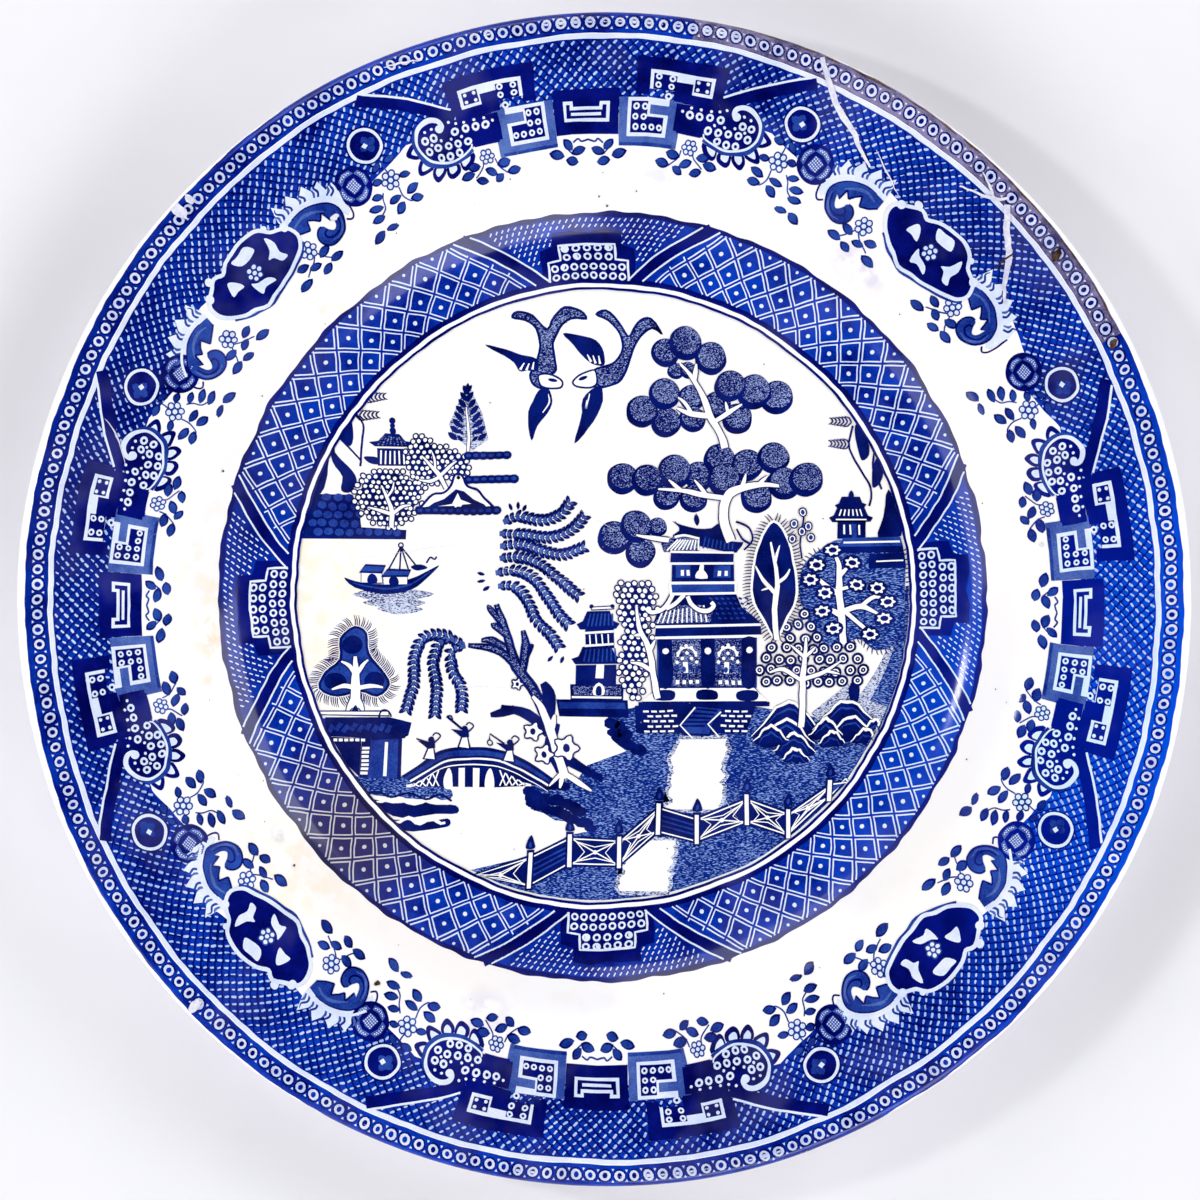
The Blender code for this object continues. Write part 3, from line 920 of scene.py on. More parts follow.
def stepped_panel(art):
    """The stepped panel of white eyes on the inner ring, in its thick dark surround."""
    surround = points_of([(-10.2, 0), (-9.6, 7.6), (-6.9, 8.2), (-6.6, 11.4), (-3.0, 11.2), (0.2, 10.6),
        (3.2, 11.4), (6.8, 11.1), (6.9, 8.0), (9.6, 7.4), (10.3, 0)])
    art.fill(DARK, 3, surround, 1.6)
    left = [(-8.7, 0.2), (-8.3, 4.6), (-5.8, 4.9), (-5.6, 8.2)]
    outline = points_of([*left, *[(-u, v) for u, v in reversed(left)]])
    art.line(RESERVE, 4, outline_path(outline), 0.5)
    for v, count, pitch in ((1.0, 8, 2.05), (3.1, 8, 2.05), (5.4, 5, 2.2), (7.4, 5, 2.2)):
        for k in range(count):
            eye(art, 4, (k - (count - 1) / 2) * pitch, v, 0.86, 0.5)


PATH_SPACING = 1.5


def outline_path(points):
    """The same polyline with a point at least every so often, so that it can follow a curve."""
    found = [points[0]]
    for a, b in zip(points, points[1:]):
        steps = max(1, math.ceil(np.linalg.norm(b - a) / PATH_SPACING))
        found += [a + (b - a) * k / steps for k in range(1, steps + 1)]
    return np.array(found)


def well_band():
    art = Artwork("well_band_pattern", "border_blue")
    ends = [*STEPS_AT, STEPS_AT[0] + 360]
    for a, b in zip(ends, ends[1:]):
        lattice_between(art, a + 19.1, b - 19.1)
    for angle in STEPS_AT:
        for way in (1, -1):
            art.place = flat
            slanted_well_bar(art, angle, way)
        art.place = on_ring(angle, WELL_INNER + 0.4)
        stepped_panel(art)
        well_dashes(art, angle)
    return art.piece()


def well_dashes(art, angle):
    """Rows of short white dashes beside and over a stepped panel."""
    rng = random.Random(int(angle * 10))
    for row in range(11):
        radius = WELL_OUTER - 1.6 - row * 1.22
        half = 8.4 + 10.9 * (radius - WELL_INNER) / (WELL_OUTER - WELL_INNER) - 2.6
        for k in range(-28, 29):
            away = (k + 0.5 * (row % 2)) * 0.98
            side = abs(away) * math.radians(1) * radius
            up = radius - WELL_INNER - 0.4
            hidden = side < 10.6 and up < 8.6 or side < 7.3 and up < 12.0
            if abs(away) > half or hidden:
                continue
            art.place = on_ring(angle + away, radius)
            art.fill(RESERVE, 2, turned(box(-0.42, -0.14, 0.42, 0.14), 52 + rng.uniform(-8, 8)))


def centre_ring():
    """The white ring round the scene, between two dark lines."""
    art = Artwork("centre_ring", "scene_blue", base=14)
    ring_band(art, BARE, 0, RING_LINE, WELL_INNER, 3)
    for radius, width in ((RING_LINE + 0.2, 0.6), (WELL_INNER - 0.05, 0.7)):
        ring_band(art, DARK, 1, radius - width / 2, radius + width / 2, 2)
    return art.piece()


# ---- the scene in the middle ----
def scene_art(name, base=0):
    """Artwork that is cut off at the ring round the scene."""
    return Artwork(name, "scene_blue", base, RING_LINE)


def inside(place, outline):
    x, y = place
    within = False
    for (x0, y0), (x1, y1) in zip(outline, np.roll(outline, -1, 0)):
        if (y0 > y) != (y1 > y) and x < x0 + (y - y0) * (x1 - x0) / (y1 - y0):
            within = not within
    return within


def scattered(outline, pitch, seed, jitter=0.15):
    """A staggered grid of places inside an outline, each a little off its mark."""
    rng = random.Random(seed)
    (left, low), (right, high) = outline.min(0), outline.max(0)
    found = []
    for row in range(int((high - low) / (pitch * 0.87)) + 1):
        for k in range(int((right - left) / pitch) + 1):
            place = (left + (k + 0.5 * (row % 2) + rng.uniform(-jitter, jitter)) * pitch,
                low + (0.87 * row + rng.uniform(-jitter, jitter)) * pitch)
            if inside(place, outline):
                found.append(place)
    return found


def spaced(path, pitch, closed=False):
    """Places at an even pitch along a path, each with its direction."""
    path = np.vstack((path, path[:1])) if closed else np.asarray(path)
    reach = np.concatenate(([0], np.cumsum(np.linalg.norm(np.diff(path, axis=0), axis=1))))
    at = np.arange(pitch / 2, reach[-1], pitch)
    places = np.column_stack([np.interp(at, reach, path[:, k]) for k in (0, 1)])
    ahead = np.column_stack([np.interp(at + 0.1, reach, path[:, k]) for k in (0, 1)])
    return list(zip(places, np.degrees(np.arctan2(*(ahead - places)[:, ::-1].T))))


def outlined(art, level, outline, inside_ink=None, edge=0.45, rim=None):
    """A shape with a drawn edge."""
    art.fill(rim or SCENE, level, grown(outline, edge))
    art.fill(inside_ink or BARE, level + 1, outline)


def boughs(art, level, paths, edge=0.5):
    """White trunks and boughs with dark edges, each given as its points and its width."""
    for path, width in paths:
        art.line(SCENE, level, smooth(path), width + edge, (1, 0.5))
    for path, width in paths:
        art.line(BARE, level + 1, smooth(path), width, (1, 0.35))


def fringe(art, level, outline, length, pitch=0.8, bend=12, width=0.26):
    """Short curved hairs that stand round an outline."""
    x, y = outline.T
    way = -1 if np.sum(x * np.roll(y, -1) - np.roll(x, -1) * y) > 0 else 1
    for (x, y), heading in spaced(outline, pitch, True):
        hair = turned([(0, 0), (length * 0.55, 0.1 * bend / 12), (length, 0.35 * bend / 12)],
            heading + 90 * way)
        art.line(SCENE, level, hair + (x, y), width, (1, 0.4))


def berries(art, level, outline, radius, pitch, seed):
    """White berries with dark edges, scattered over an outline."""
    for x, y in scattered(outline, pitch, seed):
        art.fill(SCENE, level, oval(x, y, radius + 0.32, sides=10))
        art.fill(BARE, level + 1, oval(x, y, radius, sides=10))


BALL_RADIUS = 3.55


def balls(art, level, places):
    """Round masses of foliage: dark below, stippled above, each over the one before."""
    for k, (x, y, size) in enumerate(places):
        at, reach = level + 1.5 * (k % 6), BALL_RADIUS * size
        art.fill(SCENE, at, oval(x, y, reach, sides=26))
        art.fill(STIPPLE, at + 0.75, oval(x + 0.08 * reach, y + 0.17 * reach, reach * 0.84,
            reach * 0.78, sides=20))


def upturned_roof(art, level, left, right, eave, ridge, inset, inks, ribs=0):
    """A roof with upturned corners, and ribs down it."""
    body = [(left + inset, ridge), (right - inset, ridge), (right - inset * 0.6,
        eave + (ridge - eave) * 0.45), (right, eave + (ridge - eave) * 0.3),
        (right - inset * 0.35, eave), (left + inset * 0.35, eave), (left, eave + (ridge - eave) * 0.3),
        (left + inset * 0.6, eave + (ridge - eave) * 0.45)]
    art.fill(inks, level, points_of(body))
    for k in range(ribs):
        share = (k + 0.5) / ribs
        art.line(BARE, level + 1, [(left + inset + (right - left - 2 * inset) * share, ridge - 0.4),
            (left + inset * 0.5 + (right - left - inset) * share, eave + 0.4)], 0.32)


def doves():
    art = scene_art("doves")
    bodies = ([(-20.6, 62.2), (-19.2, 63.6), (-15.8, 62.9), (-13.2, 60.2), (-11.3, 62.8), (-8.6, 64.6),
        (-5.2, 63.9), (-4.1, 62.0), (-7.6, 62.1), (-10.3, 60.2), (-11.8, 57.2), (-11.3, 53.9),
        (-11.0, 51.2), (-12.0, 49.8), (-13.4, 46.8), (-16.1, 47.4), (-17.1, 49.8), (-15.6, 52.8),
        (-14.9, 56.6), (-15.6, 60.2), (-17.8, 61.8)], [(-2.0, 63.0), (0.4, 64.1), (3.1, 61.9),
        (4.7, 58.8), (6.0, 60.1), (7.8, 62.2), (10.4, 62.5), (12.7, 59.1), (10.4, 60.4), (7.7, 58.7),
        (6.0, 55.6), (5.0, 51.9), (3.6, 48.8), (1.2, 47.5), (-1.8, 46.9), (-3.6, 48.2), (-2.6, 51.0),
        (-0.2, 51.9), (2.0, 53.0), (3.5, 56.0), (2.8, 59.2), (0.6, 61.9)])
    for body in bodies:
        body = blob(body)
        art.fill(SCENE, 1, grown(body, 0.12))
        art.fill(STIPPLE, 2, grown(body, -0.42))
    heads = ([(-15.2, 49.9), (-12.8, 50.4), (-10.6, 49.6), (-9.4, 48.2), (-10.2, 46.8), (-13.2, 46.7),
        (-15.0, 47.6)], [(-2.2, 51.0), (-4.6, 50.6), (-6.6, 49.6), (-7.6, 48.2), (-6.6, 47.1),
        (-3.6, 46.8), (-1.8, 48.0)])
    for head, eye_at, tilt in zip(heads, ((-11.8, 48.8), (-5.1, 49.1)), (-12, 18)):
        head = blob(head)
        art.fill(SCENE, 3, head)
        art.fill(BARE, 4, grown(head, -0.42))
        art.fill(SCENE, 5, oval(*eye_at, 1.1, 0.42, tilt))
    wings = ([(-26.8, 56.4), (-22.5, 55.6), (-18.8, 54.3), (-15.4, 53.6), (-15.2, 50.9), (-17.6, 50.8),
        (-19.3, 50.6), (-20.6, 52.6), (-23.8, 54.6)], [(-14.4, 47.0), (-16.4, 44.1), (-17.4, 40.2),
        (-16.6, 35.3), (-15.2, 38.6), (-13.0, 41.4), (-12.0, 44.2), (-13.0, 46.9)],
        [(-9.8, 59.3), (-6.2, 58.7), (-2.5, 57.5), (-0.6, 54.9), (-0.4, 52.0), (-3.0, 52.3),
        (-5.1, 53.8), (-7.2, 56.4)], [(-2.5, 47.1), (-5.3, 44.4), (-5.6, 39.8), (-6.9, 34.4),
        (-3.8, 37.8), (-1.3, 42.5), (-0.8, 46.7)])
    for wing in wings:
        art.fill(SCENE, 3, blob(wing))
    feathers = (((-18.9, 51.4), 62), ((-17.6, 51.3), 70), ((-16.3, 51.6), 80), ((-3.6, 53.2), 118),
        ((-2.5, 52.9), 108), ((-1.4, 52.8), 100))
    for (x, y), heading in feathers:
        art.line(BARE, 4, turned([(-0.5, 0), (1.3, 0)], heading) + (x, y), 0.55, (1, 0.4))
    for path in ([(-12.9, 45.6), (-12.7, 43.8), (-14.1, 41.4)], [(-4.4, 44.2), (-4.6, 42.2),
            (-3.8, 45.6)]):
        art.line(BARE, 4, smooth(path), 0.35, (0.4, 0.6))
    return art.piece()


FERN_PAIRS = 6


def fern(art, x, y, heading):
    """A short sprig of narrow leaves in pairs."""
    for k in range(FERN_PAIRS):
        for side in (1, -1):
            reach = 1.7 * (1 - 0.09 * k)
            at = turned([((k - FERN_PAIRS / 2) * 0.82, 0)], heading)[0] + (x, y)
            art.line(SCENE, 2, turned([(0, 0), (0.4 * reach, 0.55 * side * reach),
                (reach, 0.7 * side * reach)], heading) + at, 0.34, (1, 0.4))


def island():
    """The far island: its bank of stones, bushes, small pavilion, hill and fir."""
    art = scene_art("far_island", 1)
    bank = points_of([(-67.2, 12.8), (-44.8, 13.0), (-44.6, 15.2), (-54.8, 15.7), (-55.2, 18.6),
        (-56.6, 22.8), (-64.6, 22.9), (-66.2, 18.0)])
    art.fill(SCENE, 1, bank)
    for x, y in scattered(bank, 2.15, 4, 0.08):
        if math.hypot(x, y) < 67 and y > 14:
            art.fill(LEAF, 2, oval(x, y, 0.95, 0.85, 10, 9))
    rocks = ([(-58.6, 39.9), (-56.6, 39.7), (-55.8, 36.2), (-56.6, 33.5), (-58.2, 34.4), (-59.6, 37.2)],
        [(-60.9, 33.4), (-59.2, 30.8), (-56.9, 28.6), (-55.8, 26.0), (-57.0, 23.4), (-58.9, 23.6),
        (-58.6, 26.6), (-60.5, 29.8)], [(-61.9, 31.6), (-61.5, 27.0), (-63.0, 23.0), (-65.4, 22.6),
        (-64.3, 26.4)])
    for rock in rocks:
        art.fill(SCENE, 2, blob(rock))
    for path in ([(-55.6, 41.2), (-53.8, 38.6), (-54.2, 34.4), (-54.9, 29.2)],
            [(-59.2, 35.4), (-57.0, 33.2), (-54.8, 30.6)], [(-56.4, 41.8), (-55.6, 43.2), (-53.6, 44.2)]):
        art.line(SCENE, 2, smooth(path), 0.42)
    fern(art, -51.0, 44.6, 6)
    fern(art, -52.8, 40.6, 6)
    # the pavilion
    for size, height in ((0.75, 37.6), (0.6, 38.7), (0.75, 39.8)):
        art.fill(SCENE, 2, oval(-47.8, height, size * 0.9, size))
    upturned_roof(art, 2, -52.8, -43.0, 34.0, 37.0, 3.4, SCENE, 0)
    for k in range(8):
        art.line(STIPPLE, 3, [(-49.6 + 0.5 * k, 36.5), (-50.9 + 0.9 * k, 34.4)], 0.3)
    art.fill(SCENE, 2, box(-51.2, 29.8, -44.6, 33.6))
    for k in range(6):
        art.line(BARE, 3, [(-50.4 + 1.05 * k, 30.2), (-50.4 + 1.05 * k, 33.2)], 0.36)
    art.fill(SCENE, 2, blob([(-54.0, 31.4), (-51.0, 31.6), (-51.0, 30.2), (-53.0, 30.2)]))
    # the bushes
    upper = blob([(-44.6, 28.6), (-45.0, 33.0), (-42.4, 36.6), (-38.4, 35.4), (-34.0, 33.8),
        (-30.4, 31.8), (-29.4, 29.4), (-31.0, 27.0), (-35.0, 26.6), (-40.0, 24.6)])
    lower = blob([(-56.6, 20.6), (-56.2, 24.4), (-53.0, 28.6), (-48.8, 29.6), (-44.4, 28.2),
        (-40.4, 24.6), (-42.4, 18.8), (-46.6, 15.6), (-51.6, 16.2)])
    for crown, seed in ((upper, 21), (lower, 22)):
        art.fill(SCENE, 2, grown(crown, -1.2))
        berries(art, 3, crown, 0.44, 1.36, seed)
    boughs(art, 5, [([(-35.8, 24.6), (-37.0, 27.2), (-38.8, 29.4), (-40.8, 31.6)], 0.9),
        ([(-37.0, 27.2), (-39.4, 26.2), (-42.0, 26.6)], 0.7), ([(-37.0, 27.4), (-35.2, 29.2),
        (-33.2, 30.8)], 0.7), ([(-38.2, 29.0), (-38.2, 31.2), (-38.8, 32.8)], 0.5),
        ([(-48.0, 15.6), (-47.8, 18.6), (-48.6, 21.6), (-50.4, 25.2)], 1.0),
        ([(-47.9, 18.8), (-45.6, 20.4), (-43.6, 20.8)], 0.7), ([(-47.9, 18.8), (-50.4, 19.4),
        (-53.2, 20.2)], 0.7), ([(-49.2, 22.4), (-48.0, 24.2), (-47.6, 26.2)], 0.5)])
    # the hill and the spits
    art.fill(BARE, 4, [(-41.9, 19.4), (-38.6, 23.2), (-35.4, 24.8), (-33.8, 27.6), (-32.0, 27.4),
        (-30.6, 24.8), (-27.8, 23.2), (-24.4, 20.0)])
    art.line(SCENE, 5, smooth([(-41.6, 20.2), (-38.8, 23.2), (-36.4, 23.6), (-34.6, 25.4),
        (-33.8, 27.6), (-32.2, 27.6), (-31.0, 25.2), (-28.6, 24.2), (-27.2, 22.4), (-24.8, 20.0)]), 0.55)
    art.fill(SCENE, 5, [(-41.4, 19.2), (-38.4, 21.4), (-36.2, 22.2), (-33.6, 24.4), (-31.8, 24.0),
        (-29.6, 22.2), (-27.2, 21.0), (-25.2, 18.9), (-41.4, 18.9)])
    art.fill(BARE, 6, [(-37.4, 20.6), (-34.4, 21.2), (-33.2, 23.6), (-32.4, 22.2), (-30.0, 21.2),
        (-32.0, 21.0), (-33.0, 19.6), (-34.0, 20.8)])
    spits = ((-42.0, -24.4, 19.6), (-31.2, -21.8, 32.0), (-31.2, -19.3, 26.6))
    for left, right, height in spits:
        art.line(SCENE, 5, [(left + 0.4, height), (right - 1.0, height)], 1.7)
        for k in range(int((right - left) / 1.7) + 1):
            art.fill(SCENE, 6, oval(left + 0.6 + 1.7 * k, height, 1.15, 1.0, sides=10))
            art.fill(LEAF, 7, oval(left + 0.6 + 1.7 * k, height + 0.1, 0.6, 0.4, sides=8))
    # the fir
    art.fill(HAZE, 2, [(-31.0, 48.6), (-27.6, 41.6), (-26.2, 35.6), (-29.6, 33.2), (-34.0, 36.2),
        (-35.2, 39.0), (-33.2, 43.4)])
    boughs(art, 3, [([(-30.6, 32.6), (-30.8, 37.4), (-31.2, 43.0)], 0.6)], 0.3)
    for k in range(8):
        for side in (1, -1):
            x, y = -31.0 + side * 0.4 * k, 46.2 - 1.45 * k
            art.fill(SCENE, 4, leaf(x - side * 0.6, y - 0.5, 2.8, 1.25, 90 - side * (34 + 3 * k)))
            if k > 3:
                art.fill(SCENE, 4, leaf(-31 + side * 0.9, y - 0.8, 2.0, 0.8, 90 - side * 48))
    art.fill(SCENE, 4, leaf(-31.0, 46.0, 2.6, 0.9, 90))
    return art.piece()


def boat():
    art = scene_art("boat")
    for y, left, right, thick in ((0.6, -57.0, -38.4, 3.4), (-1.2, -54.6, -40.2, 2.6),
            (-2.6, -51.4, -41.0, 2.2)):
        art.fill(HAZE, 1, blob([(left, y), ((left + right) / 2, y + thick / 2), (right, y),
            ((left + right) / 2, y - thick / 2)], 4))
    hull = blob([(-58.8, 4.4), (-56.4, 2.2), (-50.0, 0.8), (-43.6, 1.8), (-40.0, 4.0), (-37.2, 7.0),
        (-39.8, 5.8), (-43.6, 4.2), (-50.0, 3.0), (-56.2, 3.6)])
    art.fill(SCENE, 2, hull)
    art.line(LEAF, 3, smooth([(-56.8, 3.2), (-50.0, 2.0), (-43.6, 3.0), (-39.2, 5.6)]), 0.5, (0.4, 0.4))
    for left, right, floor, eave, ridge in ((-54.8, -50.2, 3.4, 5.4, 7.5), (-49.8, -44.4, 3.0, 4.6, 6.5)):
        outlined(art, 3, box(left, floor, right, eave + 0.4), edge=0.3)
        art.fill(SCENE, 5, blob([(left + 1.4, floor), (left + 1.4, floor + 1.3),
            (left + 2.4, floor + 2.0), (left + 3.4, floor + 1.3), (left + 3.4, floor)]))
        roof = points_of([(left - 0.6, eave), (left + 0.9, ridge), (right + 0.9, ridge - 0.2),
            (right + 0.2, eave)])
        art.fill(SCENE, 5, roof)
        art.fill(LEAF, 6, grown(roof, -0.45))
    mast = (-46.0, 11.4)
    for foot in ((-48.6, 6.4), (-46.2, 6.2), (-44.2, 6.4), (-42.0, 6.6)):
        art.line(SCENE, 3, [mast, foot], 0.34)
    art.line(SCENE, 4, arc(-46.0, 11.7, 0.55, 0, 360, 10), 0.3)
    art.fill(SCENE, 4, blob([(-43.6, 6.9), (-41.4, 7.3), (-39.8, 6.5), (-42.2, 6.0)]))
    art.line(SCENE, 4, smooth([(-40.2, 7.6), (-39.4, 8.8), (-38.4, 8.4), (-37.9, 9.0)]), 0.34)
    return art.piece()


FROND_WIDTH = 3.1


def willow_frond(art, path):
    """A hanging frond: pairs of leaves with dark tips and bare gaps between them."""
    path = smooth(path, 6)
    art.line(PALE, 1, path, FROND_WIDTH * 0.55, (0.7, 0.5))
    for k, ((x, y), heading) in enumerate(spaced(path, 1.2)):
        for side in (1, -1):
            size = FROND_WIDTH * (0.68 if k > 1 else 0.5)
            art.fill(SCENE, 3, leaf(x, y, size, 1.05, heading + side * 46, 6))
            art.fill(BARE, 2, turned(box(0.3, -0.24, 1.3, 0.2), heading + side * 42) + (x, y)
                + turned([(0.65, 0)], heading)[0])
            art.fill(PALE, 4, leaf(x, y, size * 0.55, 0.5, heading + side * 40, 5))


def willow():
    art = scene_art("willow_tree", 2)
    fronds = ([(-22.8, 16.8), (-19.6, 18.0), (-14.6, 17.4), (-10.6, 18.6), (-7.9, 21.4)],
        [(-23.6, 14.4), (-18.6, 14.0), (-12.4, 13.6), (-7.8, 15.4), (-4.6, 18.6)],
        [(-23.6, 11.6), (-19.0, 11.8), (-14.0, 10.4), (-9.6, 9.8), (-5.0, 11.4)],
        [(-23.8, 8.8), (-19.6, 9.0), (-15.4, 7.8), (-11.4, 5.0), (-6.6, 0.8)],
        [(-24.6, 5.6), (-20.4, 6.0), (-16.4, 4.4), (-13.2, 0.4), (-10.6, -3.4), (-8.8, -5.4)],
        [(-24.0, 2.6), (-20.4, 2.4), (-17.6, -0.6), (-15.6, -5.0), (-12.4, -8.4), (-10.4, -11.4)],
        [(-31.8, -10.8), (-36.2, -8.8), (-40.4, -9.0), (-42.8, -13.4), (-43.2, -19.4), (-44.6, -24.8)],
        [(-33.4, -9.4), (-36.8, -10.2), (-38.6, -15.0), (-38.0, -20.6), (-38.2, -26.4)],
        [(-31.4, -11.0), (-34.2, -12.2), (-34.4, -16.6), (-32.6, -20.6), (-32.2, -25.8)])
    for path in fronds:
        willow_frond(art, path)
    for x, y, heading in ((-20.9, 19.4, 112), (-19.6, 19.6, 88), (-18.6, 19.2, 62), (-26.8, 3.8, 190),
            (-27.0, 5.2, 165), (-25.8, 2.6, 215), (-9.6, -13.0, 250), (-12.0, -13.0, 235)):
        art.fill(SCENE, 3, leaf(x, y, 1.9, 0.8, heading))
    wood = (([(-13.6, -26.6), (-16.6, -20.6), (-20.0, -15.8), (-21.8, -9.8), (-24.4, -1.6)], 2.2),
        ([(-20.4, -15.0), (-24.6, -11.8), (-30.8, -10.9)], 1.5), ([(-22.6, -11.4), (-25.6, -9.8),
        (-27.8, -9.8)], 1.4), ([(-22.6, -8.4), (-24.9, -6.4), (-25.2, -5.8)], 1.3),
        ([(-23.2, -6.0), (-25.8, -2.8), (-25.9, -1.8)], 1.3), ([(-18.8, -16.6), (-18.0, -11.4),
        (-18.6, -7.6)], 1.7), ([(-18.0, -13.6), (-16.6, -10.6)], 1.3), ([(-12.8, -30.6), (-17.6, -26.4),
        (-23.6, -24.6)], 2.0), ([(-20.6, -25.2), (-25.8, -26.4)], 1.7),
        ([(-13.4, -28.0), (-12.8, -22.4), (-14.2, -19.4)], 2.6), ([(-9.8, -38.6), (-12.4, -33.4),
        (-11.2, -28.4)], 2.8), ([(-12.2, -33.6), (-7.6, -37.0), (-0.8, -41.0)], 1.9))
    for path, width in wood:
        art.line(SCENE, 4, smooth(path), width + 0.4, (1, 0.5))
    for path, width in wood[:6]:
        art.line(STIPPLE, 5, smooth(path), width * 0.55, (0.8, 0.3))
    boughs(art, 6, [([(-9.2, -40.6), (-10.8, -35.6), (-12.6, -29.8), (-14.6, -25.0), (-16.6, -22.4)],
        1.9), ([(-9.6, -39.4), (-6.0, -41.6), (-3.4, -43.4)], 1.2), ([(-9.8, -39.6), (-10.4, -42.8)],
        1.0), ([(-9.8, -39.0), (-12.8, -42.4)], 0.8), ([(-12.4, -30.4), (-11.6, -26.4)], 1.3)], 0.45)
    for x, y, size in ((-16.4, -30.2, 1.0), (-14.0, -35.3, 1.05), (-9.0, -33.8, 1.35),
            (-20.0, -19.6, 0.65)):
        flower = bloom(x, y, size * 2.0, size * 1.9, 5, 0.22, 25)
        outlined(art, 8, grown(flower, -0.3), edge=0.4)
        art.fill(SCENE, 10, oval(x, y, 0.62 * size, 0.72 * size, sides=8))
    return art.piece()


def fringed_tree():
    art = scene_art("fringed_tree")
    mass = blob([(-56.4, -6.4), (-53.6, -8.2), (-53.2, -12.6), (-50.4, -16.0), (-48.4, -19.6),
        (-51.4, -22.2), (-55.4, -21.0), (-59.8, -22.2), (-63.6, -20.4), (-62.6, -16.6), (-59.8, -13.6),
        (-59.8, -9.0)])
    art.fill(SCENE, 1, mass)
    art.fill(LEAF, 1.5, grown(mass, -0.6))
    fringe(art, 1, grown(mass, 0.2), 2.1, 0.44, 26, 0.22)
    for x, y, reach in ((-57.0, -10.6, 2.4), (-60.4, -18.6, 2.3), (-52.0, -18.6, 2.3)):
        art.fill(SCENE, 2, oval(x, y, reach, reach * 0.85))
    boughs(art, 3, [([(-56.2, -24.6), (-56.2, -19.4), (-56.3, -13.2)], 2.0),
        ([(-56.2, -17.4), (-57.6, -15.2), (-59.4, -14.2)], 0.9), ([(-56.2, -17.4), (-54.8, -15.4),
        (-53.4, -14.0)], 0.9), ([(-56.2, -20.2), (-58.6, -19.6), (-61.0, -20.4)], 1.0),
        ([(-56.2, -20.2), (-53.0, -19.8), (-50.0, -20.2)], 1.0), ([(-56.6, -22.6), (-57.8, -25.4)],
        1.2), ([(-55.8, -22.6), (-54.6, -25.4)], 1.2)])
    art.fill(SCENE, 5, blob([(-56.9, -25.8), (-56.2, -23.9), (-55.5, -25.8)]))
    return art.piece()


def gate_house():
    art = scene_art("gate_house", 1)
    art.fill(LEAF, 1, box(-63.4, -32.2, -45.9, -27.4))
    art.fill(SCENE, 2, [(-64.2, -29.6), (-62.2, -26.9), (-48.6, -26.7), (-43.6, -28.0), (-44.4, -30.8),
        (-46.2, -31.6), (-62.0, -31.8)])
    for k in range(9):
        art.fill(LEAF, 3, turned(box(-0.5, -0.9, 0.5, 0.9), -28) + (-60.8 + 1.5 * k,
            -29.4 + 0.4 * (k % 2)))
    art.line(SCENE, 3, [(-64.6, -26.4), (-48.6, -25.9)], 1.3)
    art.line(BARE, 4, [(-64.6, -26.4), (-48.8, -25.9)], 0.7)
    art.line(SCENE, 4, arc(-49.6, -26.6, 1.4, 0, 200, 10), 0.4)
    art.fill(SCENE, 1, box(-61.4, -40.4, -54.4, -31.6))
    for k in range(7):
        art.fill(BARE, 3, box(-61.4 + 1.15 * k, -32.3, -60.6 + 1.15 * k, -31.7))
        art.fill(BARE, 3, box(-54.2, -34.2 - 0.95 * k, -52.7, -33.6 - 0.95 * k))
    art.fill(LEAF, 1, box(-54.4, -40.6, -45.8, -30.6))
    art.fill(SCENE, 2, box(-54.4, -40.6, -52.6, -30.6))
    art.fill(SCENE, 2, box(-46.6, -40.8, -45.8, -30.8))
    art.line(BARE, 3, [(-49.2, -32.4), (-49.2, -40.2)], 0.7)
    art.fill(SCENE, 3, [(-52.6, -30.4), (-46.4, -30.2), (-43.8, -28.2), (-45.2, -31.4), (-52.4, -32.0)])
    return art.piece()


def left_rocks():
    art = scene_art("left_rocks", 1)
    art.fill(HATCH, 1, blob([(-56.2, -40.8), (-48.0, -40.2), (-40.0, -40.6), (-35.2, -42.6),
        (-35.0, -45.2), (-43.0, -45.2), (-50.6, -44.6), (-54.4, -43.4)]))
    rows = (([(-52.6, -45.2), (-49.8, -47.4), (-45.0, -49.6), (-38.0, -48.6), (-33.4, -48.4),
        (-33.8, -46.6), (-38.2, -46.4), (-42.0, -45.6), (-47.0, -46.4)], -44.9),
        ([(-47.6, -50.6), (-44.4, -52.6), (-37.4, -51.9), (-34.8, -51.2), (-35.4, -49.5),
        (-39.6, -50.4), (-43.8, -50.0)], -49.4))
    for shape, top in rows:
        art.fill(SCENE, 2, blob(shape))
        left, right = shape[0][0] + 0.6, max(x for x, _ in shape) - 1.0
        crest = [(left + (right - left) * t, top - 0.7 - 0.6 * math.sin(t * 15))
            for t in np.linspace(0, 1, 14)]
        art.line(BARE, 3, crest, 1.0, (0.5, 0.6))
    art.line(SCENE, 3, smooth([(-53.0, -44.4), (-50.2, -43.8), (-47.4, -45.0), (-44.0, -43.8),
        (-40.4, -45.2), (-37.2, -44.2), (-34.6, -45.6)]), 0.5)
    return art.piece()


